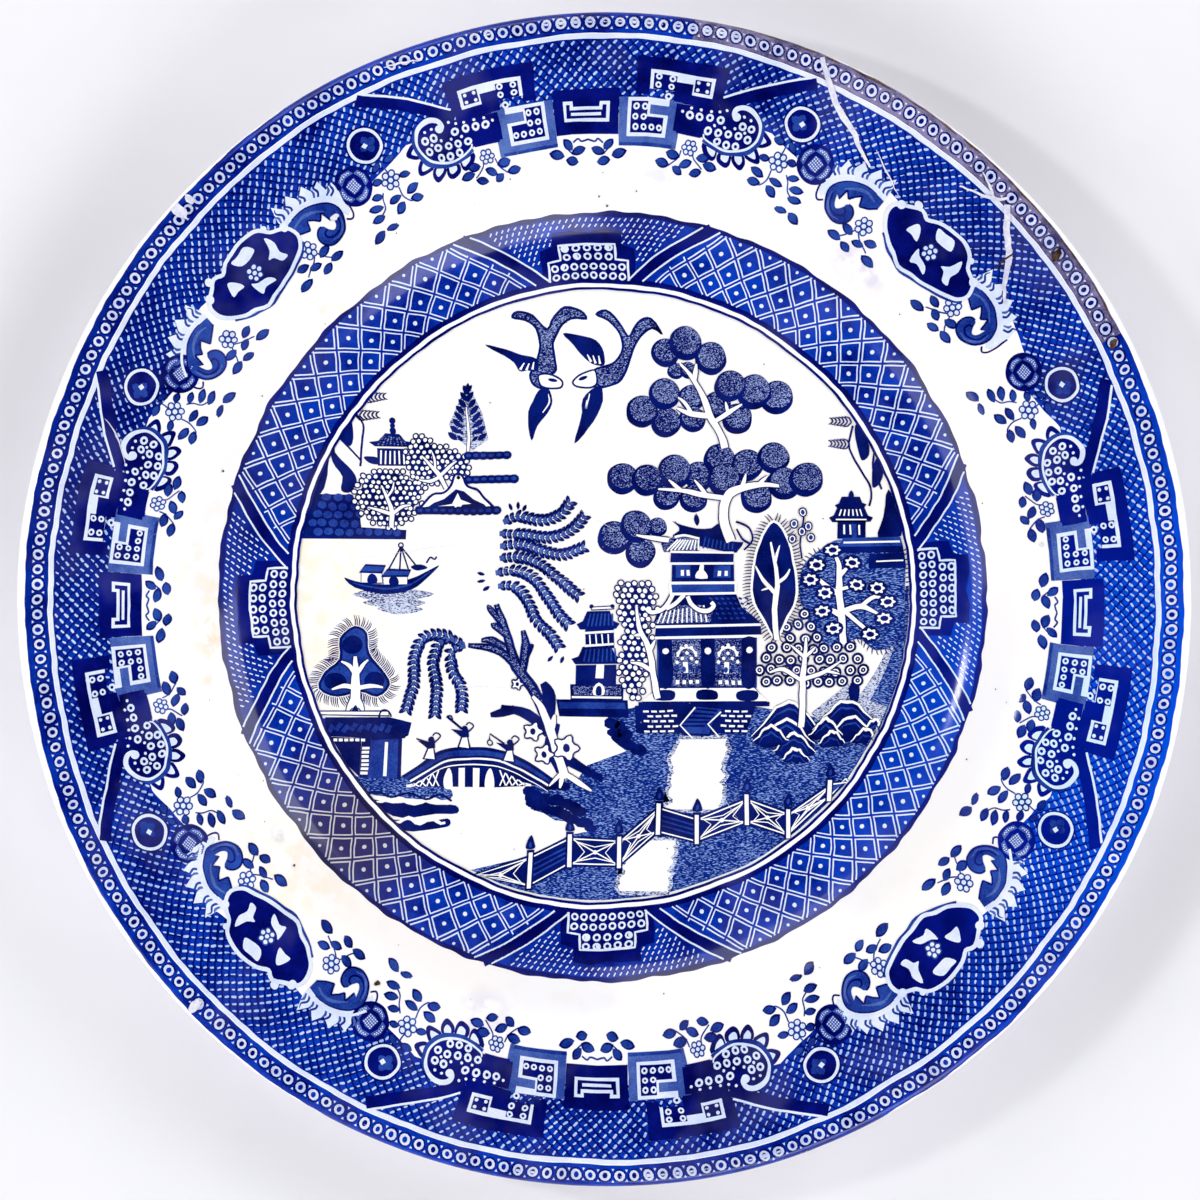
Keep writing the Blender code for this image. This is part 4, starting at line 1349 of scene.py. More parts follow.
def bridge():
    """The arched bridge with its rails and three tiny people."""
    art = scene_art("bridge", 2)
    top = smooth([(-45.8, -40.0), (-41.6, -37.2), (-37.2, -34.4), (-31.0, -33.8), (-24.8, -34.0),
        (-18.4, -36.4), (-11.4, -41.0)], 5)
    low = smooth([(-43.8, -41.2), (-40.2, -39.0), (-36.2, -36.9), (-31.0, -36.4), (-24.2, -36.7),
        (-18.4, -39.2), (-13.0, -42.3)], 5)
    base = smooth([(-43.0, -42.2), (-38.0, -42.4), (-31.0, -42.6), (-22.0, -42.5), (-14.4, -42.3)], 5)
    art.fill(SCENE, 1, np.vstack((low, base[::-1])))
    art.fill(SCENE, 1, np.vstack((top, low[::-1])))
    art.line(LEAF, 2, (top + low) / 2, 1.3, (0.5, 0.5))
    art.line(BARE, 2, low, 0.45)
    art.line(BARE, 3, low - (0, 1.3), 0.3, (0.5, 0.5))
    for x in (-35.2, -32.2, -29.0, -26.0):
        art.fill(BARE, 3, blob([(x - 0.9, -42.8), (x - 0.9, -40.4), (x - 0.3, -38.6), (x + 0.3, -38.6),
            (x + 0.9, -40.4), (x + 0.9, -42.8)]) if x in (-35.2, -26.0)
            else box(x - 0.7, -42.8, x + 0.7, -38.4))
    for k in range(5):
        for side, start in ((-1, -37.4), (1, -23.8)):
            x = start + side * 1.45 * k
            rise = -38.8 - 0.75 * k
            art.line(BARE, 3, [(x, rise), (x + side * 1.3, -42.2)], 0.3)
            art.line(BARE, 3, [(x + side * 1.3, rise - 0.6), (x, -42.2)], 0.3)
    for x, y in ((-39.4, -35.4), (-31.8, -33.2), (-21.8, -36.0)):
        art.fill(SCENE, 3, [(x - 1.7, y - 0.8), (x - 0.5, y + 2.4), (x + 0.7, y + 2.4),
            (x + 1.5, y - 1.0)])
        art.fill(BARE, 4, [(x - 1.2, y - 0.6), (x - 0.3, y + 2.0), (x + 0.5, y + 2.0),
            (x + 1.0, y - 0.8)])
        art.fill(SCENE, 5, [(x - 3.0, y + 3.4), (x - 0.4, y + 3.1), (x + 1.0, y + 3.4),
            (x + 1.0, y + 1.6), (x - 0.6, y + 1.5)])
        art.fill(SCENE, 5, oval(x + 0.2, y + 3.5, 0.7, sides=8))
        art.line(SCENE, 5, smooth([(x + 0.9, y + 2.8), (x + 2.2, y + 4.1), (x + 1.2, y + 4.9),
            (x + 0.5, y + 4.3)]), 0.32)
    art.line(SCENE, 5, [(-32.2, -29.8), (-35.6, -26.9)], 0.5)
    art.line(SCENE, 5, smooth([(-35.6, -26.9), (-34.6, -26.9), (-34.2, -28.4)]), 0.32)
    art.line(SCENE, 5, [(-42.6, -31.6), (-40.0, -32.4)], 0.32)
    art.line(SCENE, 5, [(-22.8, -32.8), (-26.0, -30.6), (-26.2, -32.0)], 0.4)
    art.line(SCENE, 5, arc(-26.2, -32.7, 0.6, 0, 360, 10), 0.3)
    return art.piece()


def tea_house():
    """The two-storeyed house on its brick terrace."""
    art = scene_art("tea_house", 6)
    art.fill(SCENE, 1, leaf(20.6, 16.0, 2.8, 1.3, 90))
    ridge = blob([(15.0, 17.2), (17.2, 16.2), (20.6, 15.4), (24.0, 15.6), (25.8, 16.8), (26.6, 14.4),
        (28.4, 12.6), (31.2, 12.4), (30.0, 10.6), (27.8, 10.2), (15.0, 12.8), (16.6, 14.8),
        (16.4, 16.0)], 2)
    art.fill(SCENE, 1, ridge)
    art.fill(STIPPLE, 2, [(15.4, 13.6), (21.4, 13.0), (21.0, 10.2), (13.0, 10.2), (12.4, 12.2)])
    for k in range(9):
        art.line(BARE, 3, [(16.2 + 0.6 * k, 12.9), (13.7 + 0.9 * k, 10.5)], 0.34)
    for k in range(8):
        art.line(LEAF, 3, [(22.6 + 0.9 * k, 13.6 - 0.2 * k), (22.0 + 0.95 * k, 10.9)], 0.3)
    art.line(BARE, 3, smooth([(15.4, 13.4), (18.0, 13.8), (21.2, 13.2)]), 0.5)
    outlined(art, 4, box(14.6, 7.9, 28.9, 9.9), SCENE, 0.5, BARE)
    art.fill(SCENE, 4, box(15.0, 3.4, 29.0, 7.9))
    art.fill(LEAF, 5, box(15.9, 4.4, 19.2, 7.2))
    art.fill(LEAF, 5, box(24.4, 4.4, 28.2, 7.2))
    for x in (17.0, 18.3, 25.3, 26.8):
        art.fill(BARE, 6, box(x, 4.8, x + 0.7, 6.0))
    art.fill(BARE, 6, blob([(20.3, 4.2), (20.6, 5.4), (21.2, 6.0), (21.3, 7.2), (22.1, 7.2),
        (22.2, 6.0), (22.8, 5.4), (23.1, 4.2)], 2))
    art.fill(BARE, 5, box(14.4, 0.6, 29.6, 3.6))
    art.fill(LEAF, 6, box(14.9, 1.2, 29.1, 3.0))
    # the lower roof
    art.fill(SCENE, 1, [(15.8, 0.8), (29.4, 0.8), (30.8, -2.2), (33.6, -4.6), (35.4, -6.4),
        (10.4, -6.4), (11.4, -3.4), (13.4, -1.2)])
    art.fill(STIPPLE, 2, [(15.6, -1.6), (21.6, -1.8), (24.2, -3.4), (23.6, -5.6), (10.9, -5.6),
        (12.2, -3.6)])
    for k in range(11):
        art.line(BARE, 3, [(12.6 + 0.95 * k, -2.9 + 0.1 * k), (11.7 + 1.1 * k, -5.5)], 0.34)
    for row in range(5):
        for k in range(7 - row // 2):
            x = 23.4 + 1.35 * k + 0.5 * row
            art.line(LEAF, 3, [(x, -0.2 - 1.1 * row), (x + 0.7, -0.5 - 1.1 * row)], 0.4)
    for path in ([(9.0, -2.0), (10.2, -3.0), (12.4, -2.4), (14.2, -0.8), (15.2, 1.2)],
            [(18.4, 0.2), (19.2, -1.4), (21.0, -2.9), (23.2, -3.0), (24.4, -2.0), (23.8, -1.2)],
            [(13.4, -2.2), (15.6, -1.3), (17.6, 0.6)]):
        art.line(SCENE, 4, smooth(path), 1.5)
        art.line(BARE, 5, smooth(path), 0.9)
    # the hall
    outlined(art, 5, box(11.2, -8.6, 35.0, -6.6), SCENE, 0.6, BARE)
    art.fill(LEAF, 1, box(11.6, -20.2, 34.0, -9.2))
    for x0, x1 in ((15.1, 21.4), (24.7, 30.5)):
        middle = (x0 + x1) / 2
        art.fill(STIPPLE, 2, box(x0, -20.0, x1, -9.4))
        art.line(BARE, 3, arc(middle, -13.2, 2.1, 0, 180, 9), 0.5)
        for u, v in ((-2.0, -12.4), (-1.2, -11.2), (0, -10.7), (1.2, -11.2), (2.0, -12.4), (0, -12.4),
                (-2.2, -14.4), (2.2, -14.4), (-1.0, -13.6), (1.0, -13.6)):
            art.fill(BARE, 3, oval(middle + u, v, 0.42, sides=7))
        art.fill(BARE, 3, box(middle - 0.9, -16.9, middle + 0.2, -14.4))
        for k in range(4):
            art.fill(LEAF, 4, oval(x0 + 0.9 + 1.5 * k, -15.6 - 0.5 * (k % 2), 0.5, 0.7, sides=7))
            art.fill(SCENE, 3, box(x0 + 0.4 + 1.5 * k, -18.0, x0 + 0.9 + 1.5 * k, -17.2))
            art.fill(BARE, 3, box(x0 + 0.6 + 1.5 * k, -19.4, x0 + 1.4 + 1.5 * k, -18.5))
    for x in (13.4, 23.0, 32.2):
        post = blob([(x - 1.5, -9.2), (x + 1.5, -9.2), (x + 1.4, -12.2), (x + 1.7, -15.8),
            (x + 1.2, -20.0), (x - 1.2, -20.0), (x - 1.7, -15.8), (x - 1.4, -12.2)], 2)
        art.fill(SCENE, 5, post)
        art.fill(BARE, 6, oval(x + 0.1, -11.9, 0.75, sides=9))
    outlined(art, 3, points_of([(11.8, -20.2), (33.4, -20.2), (36.4, -23.2), (8.0, -23.2)]), edge=0.4)
    for x in (13.2, 22.8, 31.8):
        foot = blob([(x - 2.2, -21.0), (x, -20.6), (x + 2.2, -21.0), (x + 2.5, -22.2), (x + 1.6, -23.0),
            (x - 1.6, -23.0), (x - 2.5, -22.2)], 2)
        art.fill(SCENE, 5, foot)
    art.fill(SCENE, 5, box(7.4, -24.4, 36.8, -23.4))
    # the brick terrace and its steps
    art.fill(SCENE, 1, [(6.6, -24.2), (33.6, -24.2), (31.6, -30.4), (6.6, -30.4)])
    for row in range(5):
        for k in range(13):
            x, y = 8.4 + 1.85 * k + 0.9 * (row % 2), -25.4 - 1.12 * row
            if x < 32.0 - 0.2 * row and not 16.0 < x + 0.5 < 26.0:
                art.fill(BARE, 2, box(x, y - 0.22, x + 1.25, y + 0.22))
    steps = points_of([(20.6, -24.4), (26.4, -24.8), (24.4, -28.2), (23.2, -31.0), (17.6, -30.8),
        (16.2, -28.8)])
    art.fill(SCENE, 2, grown(steps, 0.3))
    art.fill(LEAF, 3, grown(steps, -0.3))
    for k in range(5):
        at = -0.9 * k
        art.line(SCENE, 4, [(20.4 + at, -25.2 + at), (25.2 + at * 0.8, -25.4 + at)], 0.45)
    art.line(BARE, 4, [(20.2, -24.8), (16.6, -28.6), (19.4, -31.6)], 0.35)
    art.line(BARE, 4, [(26.0, -25.6), (23.0, -28.6), (25.4, -31.4)], 0.35)
    return art.piece()


def pagoda():
    """The small two-tiered building on the left of the tea house."""
    art = scene_art("side_pagoda", 3)
    art.fill(SCENE, 1, [(-11.2, -23.0), (5.0, -23.0), (5.0, -26.8), (-10.6, -26.8)])
    art.fill(LEAF, 2, [(-10.6, -23.6), (4.4, -23.6), (4.4, -25.0), (-10.6, -25.0)])
    art.fill(SCENE, 1, box(-8.0, -23.0, 4.0, -19.4))
    art.fill(BARE, 2, box(-7.8, -22.6, 3.6, -22.1))
    art.fill(STIPPLE, 2, box(-7.4, -21.8, 3.4, -19.8))
    art.fill(SCENE, 1, box(-6.8, -20.0, 2.2, -15.0))
    art.fill(BARE, 3, box(-2.4, -18.0, -0.6, -14.8))
    art.fill(BARE, 3, blob([(-2.8, -21.8), (-2.8, -20.0), (-1.6, -18.9), (-0.4, -20.0), (-0.4, -21.8)],
        2))
    art.fill(SCENE, 4, blob([(-2.2, -21.8), (-2.2, -20.2), (-1.6, -19.6), (-1.0, -20.2), (-1.0, -21.8)],
        2))
    upturned_roof(art, 2, -7.9, 3.6, -14.8, -10.8, 2.6, SCENE)
    for k in range(8):
        art.line(LEAF, 3, [(-4.4 + 0.9 * k, -11.4), (-5.2 + 1.05 * k, -14.2)], 0.34)
    art.fill(SCENE, 1, box(-4.6, -11.4, 1.8, -6.8))
    art.line(BARE, 3, [(-4.8, -7.8), (1.8, -7.6)], 0.5)
    art.line(BARE, 3, [(-4.8, -10.6), (1.8, -10.4)], 0.5)
    for k in range(4):
        art.line(BARE, 3, [(-3.6 + 1.4 * k, -10.3), (-3.6 + 1.4 * k, -8.2)], 0.3)
    upturned_roof(art, 2, -6.6, 3.2, -7.0, -3.0, 2.4, SCENE)
    for k in range(7):
        art.line(LEAF, 3, [(-3.4 + 0.8 * k, -3.6), (-4.1 + 0.95 * k, -6.3)], 0.34)
    art.line(SCENE, 3, [(-3.4, -2.4), (1.8, -2.2)], 0.95)
    art.line(BARE, 4, [(-3.2, -2.4), (1.6, -2.2)], 0.45)
    for x in (-3.4, 1.4):
        art.fill(SCENE, 4, oval(x, -1.9, 0.5, sides=8))
    return art.piece()


def berry_tree():
    art = scene_art("berry_tree", 9)
    crown = blob([(3.0, 3.6), (7.4, 4.0), (11.0, 2.6), (12.0, -1.8), (9.6, -3.4), (11.2, -7.0),
        (9.6, -13.6), (8.6, -18.6), (8.2, -22.6), (5.0, -23.4), (3.0, -18.8), (2.6, -11.4), (3.6, -5.4),
        (2.0, -0.6)])
    art.fill(SCENE, 0, grown(crown, -1.3))
    berries(art, 1, crown, 0.52, 1.55, 31)
    boughs(art, 4, [([(11.8, -22.6), (10.6, -17.6), (9.6, -11.0), (7.4, -6.0), (6.8, -1.6)], 1.3),
        ([(10.6, -16.6), (8.0, -15.0), (5.4, -14.6)], 0.9), ([(9.8, -12.0), (11.2, -9.4)], 0.8),
        ([(8.4, -8.0), (6.4, -8.4)], 0.7)])
    return art.piece()


def ball_tree():
    """The tall tree of round masses over the house."""
    art = scene_art("ball_tree")
    groups = ([(15.6, 50.9, 0.55), (18.4, 51.2, 0.55), (13.2, 55.0, 0.92), (23.5, 53.9, 1.02),
        (17.8, 57.1, 1.05)], [(19.3, 44.9, 0.85), (19.4, 40.0, 0.85), (13.5, 39.2, 0.95),
        (8.0, 41.8, 1.02), (13.1, 45.6, 1.0)], [(25.0, 43.4, 0.9), (29.6, 40.3, 0.98),
        (38.4, 44.9, 1.05), (33.2, 46.2, 1.1), (27.8, 47.7, 1.0)], [(13.7, 22.6, 0.85),
        (19.8, 22.2, 0.9), (34.0, 22.2, 1.0), (40.2, 25.6, 1.05), (45.2, 26.6, 1.08),
        (26.6, 26.4, 1.05), (21.0, 27.2, 0.95), (31.8, 29.6, 1.05), (25.6, 31.0, 1.0),
        (37.7, 31.4, 1.02), (15.4, 28.2, 1.08), (9.2, 26.4, 1.0), (3.7, 26.6, 1.0)],
        [(7.8, 10.2, 0.95), (11.7, 15.8, 0.6), (1.8, 13.5, 1.05), (6.8, 16.0, 1.02)])
    for group in groups:
        balls(art, 1, group)
    boughs(art, 13, [([(26.8, 33.6), (25.6, 37.2), (23.6, 40.6), (22.2, 44.4), (19.6, 49.2),
        (16.6, 52.6)], 1.5), ([(19.8, 49.0), (20.2, 52.8)], 1.0), ([(23.2, 41.0), (19.0, 41.2),
        (15.8, 42.4)], 1.2), ([(19.0, 41.4), (17.8, 43.6), (16.2, 44.8)], 0.9),
        ([(24.4, 39.6), (28.0, 42.0), (30.6, 43.6)], 1.0), ([(27.6, 41.8), (26.9, 44.2)], 0.7),
        ([(28.4, 12.6), (26.6, 17.8), (27.4, 22.6), (30.0, 24.2), (34.8, 25.2), (39.2, 25.0)], 2.0),
        ([(26.9, 22.4), (22.4, 23.0), (16.8, 24.0), (11.8, 24.4)], 1.1),
        ([(17.0, 24.0), (14.0, 26.4)], 0.8), ([(22.6, 23.2), (20.0, 26.4)], 0.8),
        ([(30.6, 24.2), (31.8, 27.6)], 0.9), ([(34.4, 25.0), (36.6, 27.2)], 0.8),
        ([(14.2, 12.8), (10.4, 13.4), (6.8, 14.2)], 1.0)])
    for path in ([(29.4, 17.0), (32.4, 15.6), (33.2, 12.8), (31.4, 10.6)],
            [(29.6, 15.4), (30.8, 13.2), (32.6, 12.0)]):
        art.line(SCENE, 15, smooth(path), 0.45)
    return art.piece()


def flame_tree():
    art = scene_art("flame_tree", 10)
    mass = blob([(37.9, 16.6), (41.2, 12.2), (42.4, 6.0), (42.6, -0.6), (40.4, -5.2), (38.2, -9.2),
        (36.0, -5.2), (33.4, 0.0), (33.6, 6.6), (35.2, 12.2)], 4)
    fringe(art, 1, grown(mass, 0.5), 1.9, 0.72)
    art.fill(BARE, 1, grown(mass, 0.6))
    art.fill(SCENE, 2, mass)
    boughs(art, 5, [([(38.4, -9.8), (38.2, -3.0), (38.6, 4.2), (37.4, 12.2)], 1.2),
        ([(38.4, 0.6), (35.4, 3.8), (33.8, 7.0)], 0.8), ([(38.5, 3.0), (40.4, 4.4), (41.4, 6.2)], 0.7),
        ([(38.2, 7.6), (39.4, 11.4)], 0.6), ([(37.0, 2.0), (35.2, 1.4)], 0.5)])
    art.line(SCENE, 5, smooth([(44.3, 8.6), (44.0, 13.0), (44.6, 18.6)]), 0.4)
    for x, y in ((44.4, 19.2), (42.4, 16.4), (45.6, 16.0), (42.2, 13.0), (46.2, 13.4), (44.2, 14.8)):
        art.fill(SCENE, 6, oval(x, y, 1.0, 1.15))
        art.fill(BARE, 7, oval(x, y, 0.7, 0.85, sides=9))
        art.fill(LEAF, 8, oval(x, y, 0.45, 0.6, sides=8))
    return art.piece()


def eye_flower_tree():
    art = scene_art("eye_flower_tree", 4)
    mass = blob([(48.6, 10.8), (52.6, 13.0), (58.0, 11.6), (66.6, 10.8), (67.2, -2.0), (65.6, -10.0),
        (60.6, -12.0), (56.6, -9.4), (50.4, -11.0), (46.4, -6.4), (43.6, 0.6), (44.4, 6.6)], 4)
    art.fill(HATCH, 1, mass)
    fringe(art, 1, mass[8:], 1.2, 1.0)
    boughs(art, 3, [([(53.2, -10.6), (53.2, -5.0), (52.4, 1.2), (52.6, 7.0), (51.6, 9.8)], 1.5),
        ([(53.2, -3.4), (57.4, -2.2), (61.4, -3.8)], 1.2), ([(57.4, -2.2), (60.4, 0.2), (63.0, -0.8)],
        0.9), ([(52.4, 0.6), (49.6, 2.4), (47.4, 4.6)], 1.1), ([(53.0, -4.2), (50.0, -2.4)], 1.1),
        ([(52.6, 4.6), (54.6, 6.8)], 0.9), ([(54.0, -3.4), (57.6, -6.6), (59.0, -8.0)], 0.9),
        ([(52.6, 1.6), (55.6, 2.4)], 0.8)], 0.7)
    for x, y in ((51.2, 10.6), (47.6, 7.2), (55.6, 7.8), (46.0, 3.9), (56.4, 2.7), (61.1, 2.2),
            (49.3, 0.9), (48.9, -3.1), (51.3, -7.0), (63.4, -1.0), (62.6, -4.8), (59.4, -8.4)):
        art.fill(SCENE, 5, oval(x, y, 2.3, 1.8, sides=12))
        flower = bloom(x, y, 1.5, 1.15, 7, 0.2, 28)
        art.fill(BARE, 6, flower)
        art.fill(SCENE, 7, oval(x, y, 0.92, 0.64, sides=10))
    return art.piece()


def ring_fruit_tree():
    art = scene_art("ring_fruit_tree", 9)
    crown = blob([(43.6, -2.6), (47.6, -5.0), (49.8, -9.0), (54.6, -11.0), (57.8, -14.0), (58.4, -18.8),
        (53.4, -19.8), (47.2, -21.6), (44.6, -19.4), (39.4, -20.0), (35.0, -18.0), (35.2, -13.4),
        (38.2, -10.2), (40.6, -6.8)])
    for x, y in scattered(crown, 2.9, 41, 0.14):
        art.fill(SCENE, 1, oval(x, y, 1.38, sides=12))
        art.fill(BARE, 2, oval(x, y, 0.84, sides=12))
        art.fill(SCENE, 3, oval(x, y, 0.54, sides=9))
        art.fill(BARE, 4, oval(x, y, 0.16, sides=6))
    boughs(art, 5, [([(43.8, -29.0), (44.2, -22.0), (44.6, -15.0), (45.0, -9.0)], 1.3),
        ([(44.4, -19.0), (40.2, -16.4), (37.0, -17.0)], 0.9), ([(44.4, -18.6), (49.2, -16.6),
        (52.6, -14.2)], 0.9), ([(44.8, -13.6), (41.4, -10.8)], 0.7), ([(49.4, -16.4), (52.6, -17.2)],
        0.6), ([(44.8, -13.4), (47.0, -11.0)], 0.7)])
    return art.piece()


ROCK_REACH = 67.4  # the rocks stop just inside the engraved ground


def right_rocks():
    """The rocks at the foot of the fruit tree, in white-crested waves."""
    art = scene_art("right_rocks", 7)
    art.fill(HAZE, 0, [(46.0, -26.0), (54.6, -19.4), (57.4, -22.6), (63.2, -24.6), (60.8, -30.4),
        (50.0, -30.0)])
    art.fill(SCENE, 1, leaf(55.6, -24.6, 6.6, 2.6, 86))
    hills = ((41.0, -30.6, 16.4, 7.4), (40.6, -32.4, 13.0, 5.4), (42.4, -34.2, 9.6, 4.2),
        (42.6, -35.8, 6.4, 2.4), (54.0, -29.0, 15.4, 6.2), (55.0, -31.2, 11.4, 4.8),
        (60.4, -30.6, 6.2, 3.4), (37.2, -31.8, 8.0, 3.4), (49.4, -30.6, 7.6, 3.8),
        (50.8, -32.2, 6.0, 2.6), (58.4, -31.9, 6.6, 2.6))
    for k, (x, y, width, height) in enumerate(hills):
        t = np.linspace(0, 1, 13)
        crest = np.column_stack((x + (t - 0.5) * width, y + height * np.sin(math.pi * t) ** 1.3 + 0.25
            * np.sin(t * 26 + k)))
        foot = np.column_stack((x + (t[::-1] - 0.5) * width * 0.86, y - 1.2 + 0.2 * np.sin(t * 21)))
        shape = np.vstack((crest, foot))
        reach = np.hypot(*shape.T)
        outside = reach > ROCK_REACH
        shape[outside] *= (ROCK_REACH / reach[outside])[:, None]
        art.fill(SCENE, 1 + 2 * k, shape)
        path = shape[:13] - (0, 0.45)
        art.line(BARE, 2 + 2 * k, path, 0.75, (0.2, 0.2))
        art.line(LEAF, 2 + 2 * k, path[2:-2] - (0, 1.5), 0.5, (0.2, 0.2))
    return art.piece()


def right_pavilion():
    art = scene_art("right_pavilion", 6)
    cliffs = ([(56.6, 38.4), (59.0, 34.6), (59.4, 31.6), (57.6, 30.4), (56.8, 33.4), (56.2, 36.0)],
        [(61.2, 31.0), (62.6, 28.6), (61.8, 25.4), (60.2, 24.4), (60.0, 28.0)],
        [(63.6, 24.0), (62.6, 18.0), (61.2, 13.6), (66.6, 13.6), (65.6, 19.0)])
    for cliff in cliffs:
        art.fill(SCENE, 1, blob(cliff))
    for path in ([(55.8, 38.0), (54.9, 33.0), (57.6, 28.0), (59.8, 24.2), (59.4, 20.4)],
            [(60.8, 33.0), (60.2, 28.6), (62.2, 24.0)]):
        art.line(SCENE, 1, smooth(path), 0.45)
    fern(art, 53.0, 39.0, 174)
    fern(art, 52.6, 34.2, 174)
    art.fill(SCENE, 2, leaf(55.3, 21.8, 2.2, 1.2, 90))
    upturned_roof(art, 2, 51.6, 58.8, 20.0, 22.6, 1.6, SCENE)
    upturned_roof(art, 1, 50.2, 60.2, 17.0, 20.2, 1.9, SCENE)
    for k in range(6):
        art.line(BARE, 3, [(53.0 + 0.85 * k, 19.8), (52.6 + 1.0 * k, 18.4)], 0.3)
    art.line(BARE, 3, [(51.8, 17.6), (58.6, 17.6)], 0.3)
    art.fill(SCENE, 1, box(52.2, 13.2, 58.4, 17.4))
    for x in (53.4, 54.8, 56.8):
        art.fill(BARE, 2, box(x, 14.2, x + 0.4, 16.4))
    art.fill(LEAF, 2, box(55.4, 13.4, 56.4, 16.6))
    art.fill(LEAF, 3, [(52.4, 11.4), (66.8, 11.4), (66.4, 13.4), (53.4, 13.4)])
    art.fill(BARE, 4, box(53.6, 12.2, 66.2, 12.6))
    art.fill(SCENE, 3, [(52.8, 9.9), (67.0, 9.9), (66.8, 11.4), (52.8, 11.4)])
    art.fill(SCENE, 3, [(59.2, 6.6), (67.6, 6.6), (67.1, 9.9), (59.2, 9.9)])
    art.line(BARE, 4, [(60.8, 8.2), (67.0, 8.2)], 0.3)
    return art.piece()


def ragged(low, high, left, right, seed):
    """A tall white reflection with ragged sides."""
    rng = random.Random(seed)
    steps = np.arange(low, high, 0.75)

    def lean(y):
        return 0.12 * (y - low)

    sides = [(left + lean(y) - rng.uniform(0, 1.5), y) for y in steps]
    back = [(right + lean(y) + rng.uniform(0, 1.5), y) for y in steps[::-1]]
    return points_of(sides + back)


def near_ground():
    """The engraved ground and water at the front, from the bridge's end round to the right."""
    art = scene_art("near_ground")
    ring = [(GROUND_REACH * math.sin(math.radians(a)), GROUND_REACH * math.cos(math.radians(a)))
        for a in range(112, 207, 4)]
    shore = [(-29.6, -61.1), (-17.2, -58.0), (-8.2, -53.4), (-3.0, -52.2), (-6.6, -50.4),
        (-11.6, -50.2), (-14.0, -48.6), (-17.0, -47.6), (-17.2, -42.6), (-12.4, -41.6), (-6.2, -40.4),
        (-4.2, -37.6), (-1.0, -36.6), (4.6, -34.6), (1.4, -32.2), (0.2, -26.0), (7.0, -24.4),
        (34.0, -24.4), (50.0, -27.4)]
    art.fill(HATCH, 0, [*shore, *ring])
    turn = np.radians(np.linspace(88, 116, 15))
    inner = GROUND_REACH - np.linspace(0.6, 7.5, 15)[::-1] ** 1.05 * np.linspace(1, 0.9, 15)
    for width, fill in ((1.0, HAZE), (0.6, HATCH)):
        reach = GROUND_REACH - (GROUND_REACH - inner[::-1]) * width
        art.fill(fill, 0.4 if fill is HAZE else 1, np.vstack((at_polar(68.2, turn),
            at_polar(reach, turn)[::-1])))
    banks = ([(-17.2, -43.0), (-16.6, -46.4), (-12.4, -48.0), (-8.0, -49.4), (-3.4, -51.4)],
        [(-16.4, -44.2), (-10.6, -45.6), (-5.4, -48.2)], [(-14.0, -42.6), (-9.4, -42.4)],
        [(0.6, -27.0), (2.0, -31.0), (5.4, -33.6), (8.6, -34.6)], [(2.6, -28.0), (4.4, -31.2)])
    rng = random.Random(61)
    for bank in banks:
        for (x, y), _ in spaced(points_of(bank), 1.3):
            art.fill(SCENE, 1, oval(x, y + rng.uniform(-0.4, 0.4), rng.uniform(1.2, 2.0),
                rng.uniform(0.9, 1.4), sides=9))
    for shape in (ragged(-47.6, -31.8, 14.8, 24.6, 2), ragged(-66.0, -54.4, 4.2, 13.4, 3)):
        art.fill(HAZE, 1, grown(shape, 0.9))
        art.fill(BARE, 2, shape)
    return art.piece()


def fence():
    """The zigzag fence, from panel to panel across the front."""
    art = scene_art("zigzag_fence", 4)
    posts = ((-29.2, -62.2, -63.4), (-16.8, -57.6, -65.0), (-8.1, -53.6, -60.4), (3.1, -54.2, -60.8),
        (11.9, -46.8, -53.4), (20.6, -49.4, -55.6), (31.8, -44.6, -50.8), (41.2, -48.0, -54.0),
        (50.4, -41.2, -45.3), (54.4, -40.6, -41.0))
    filling = "XHXXHXXXZ"
    for (x0, top0, low0), (x1, top1, low1), kind in zip(posts, posts[1:], filling):
        panel = points_of([(x0, top0), (x1, top1), (x1, low1), (x0, low0)])
        art.fill(SCENE, 1, panel)
        corners = grown(panel, -0.75)
        for a, b in zip(corners, np.roll(corners, -1, 0)):
            art.line(BARE, 2, [a, b], 0.3)
        middle = corners.mean(0)
        if kind == "X":
            for corner in corners:
                art.line(BARE, 2, [middle, corner], 0.28)
            for a, b in zip(corners, np.roll(corners, -1, 0)):
                tip = middle * 0.55 + (a + b) / 2 * 0.45
                art.line(BARE, 2, [middle * 0.2 + a * 0.8, tip, middle * 0.2 + b * 0.8], 0.22)
            art.fill(BARE, 3, oval(*middle, 0.5, sides=8))
        else:
            for share in (0.3, 0.5, 0.7):
                a = corners[0] * (1 - share) + corners[3] * share
                b = corners[1] * (1 - share) + corners[2] * share
                art.line(LEAF, 2, [a, b], 0.35)
    for x, top, low in posts[1:-1]:
        art.fill(SCENE, 4, box(x - 0.85, low - 0.5, x + 0.85, top + 1.0))
        art.fill(BARE, 5, box(x - 0.45, low - 0.1, x + 0.45, top + 0.4))
        art.fill(SCENE, 5, blob([(x - 1.0, top + 1.3), (x - 0.8, top + 2.7), (x, top + 4.3),
            (x + 0.8, top + 2.7), (x + 1.0, top + 1.3)]))
        art.fill(LEAF, 6, oval(x, top + 2.1, 0.35, 0.7, sides=7))
    return art.piece()


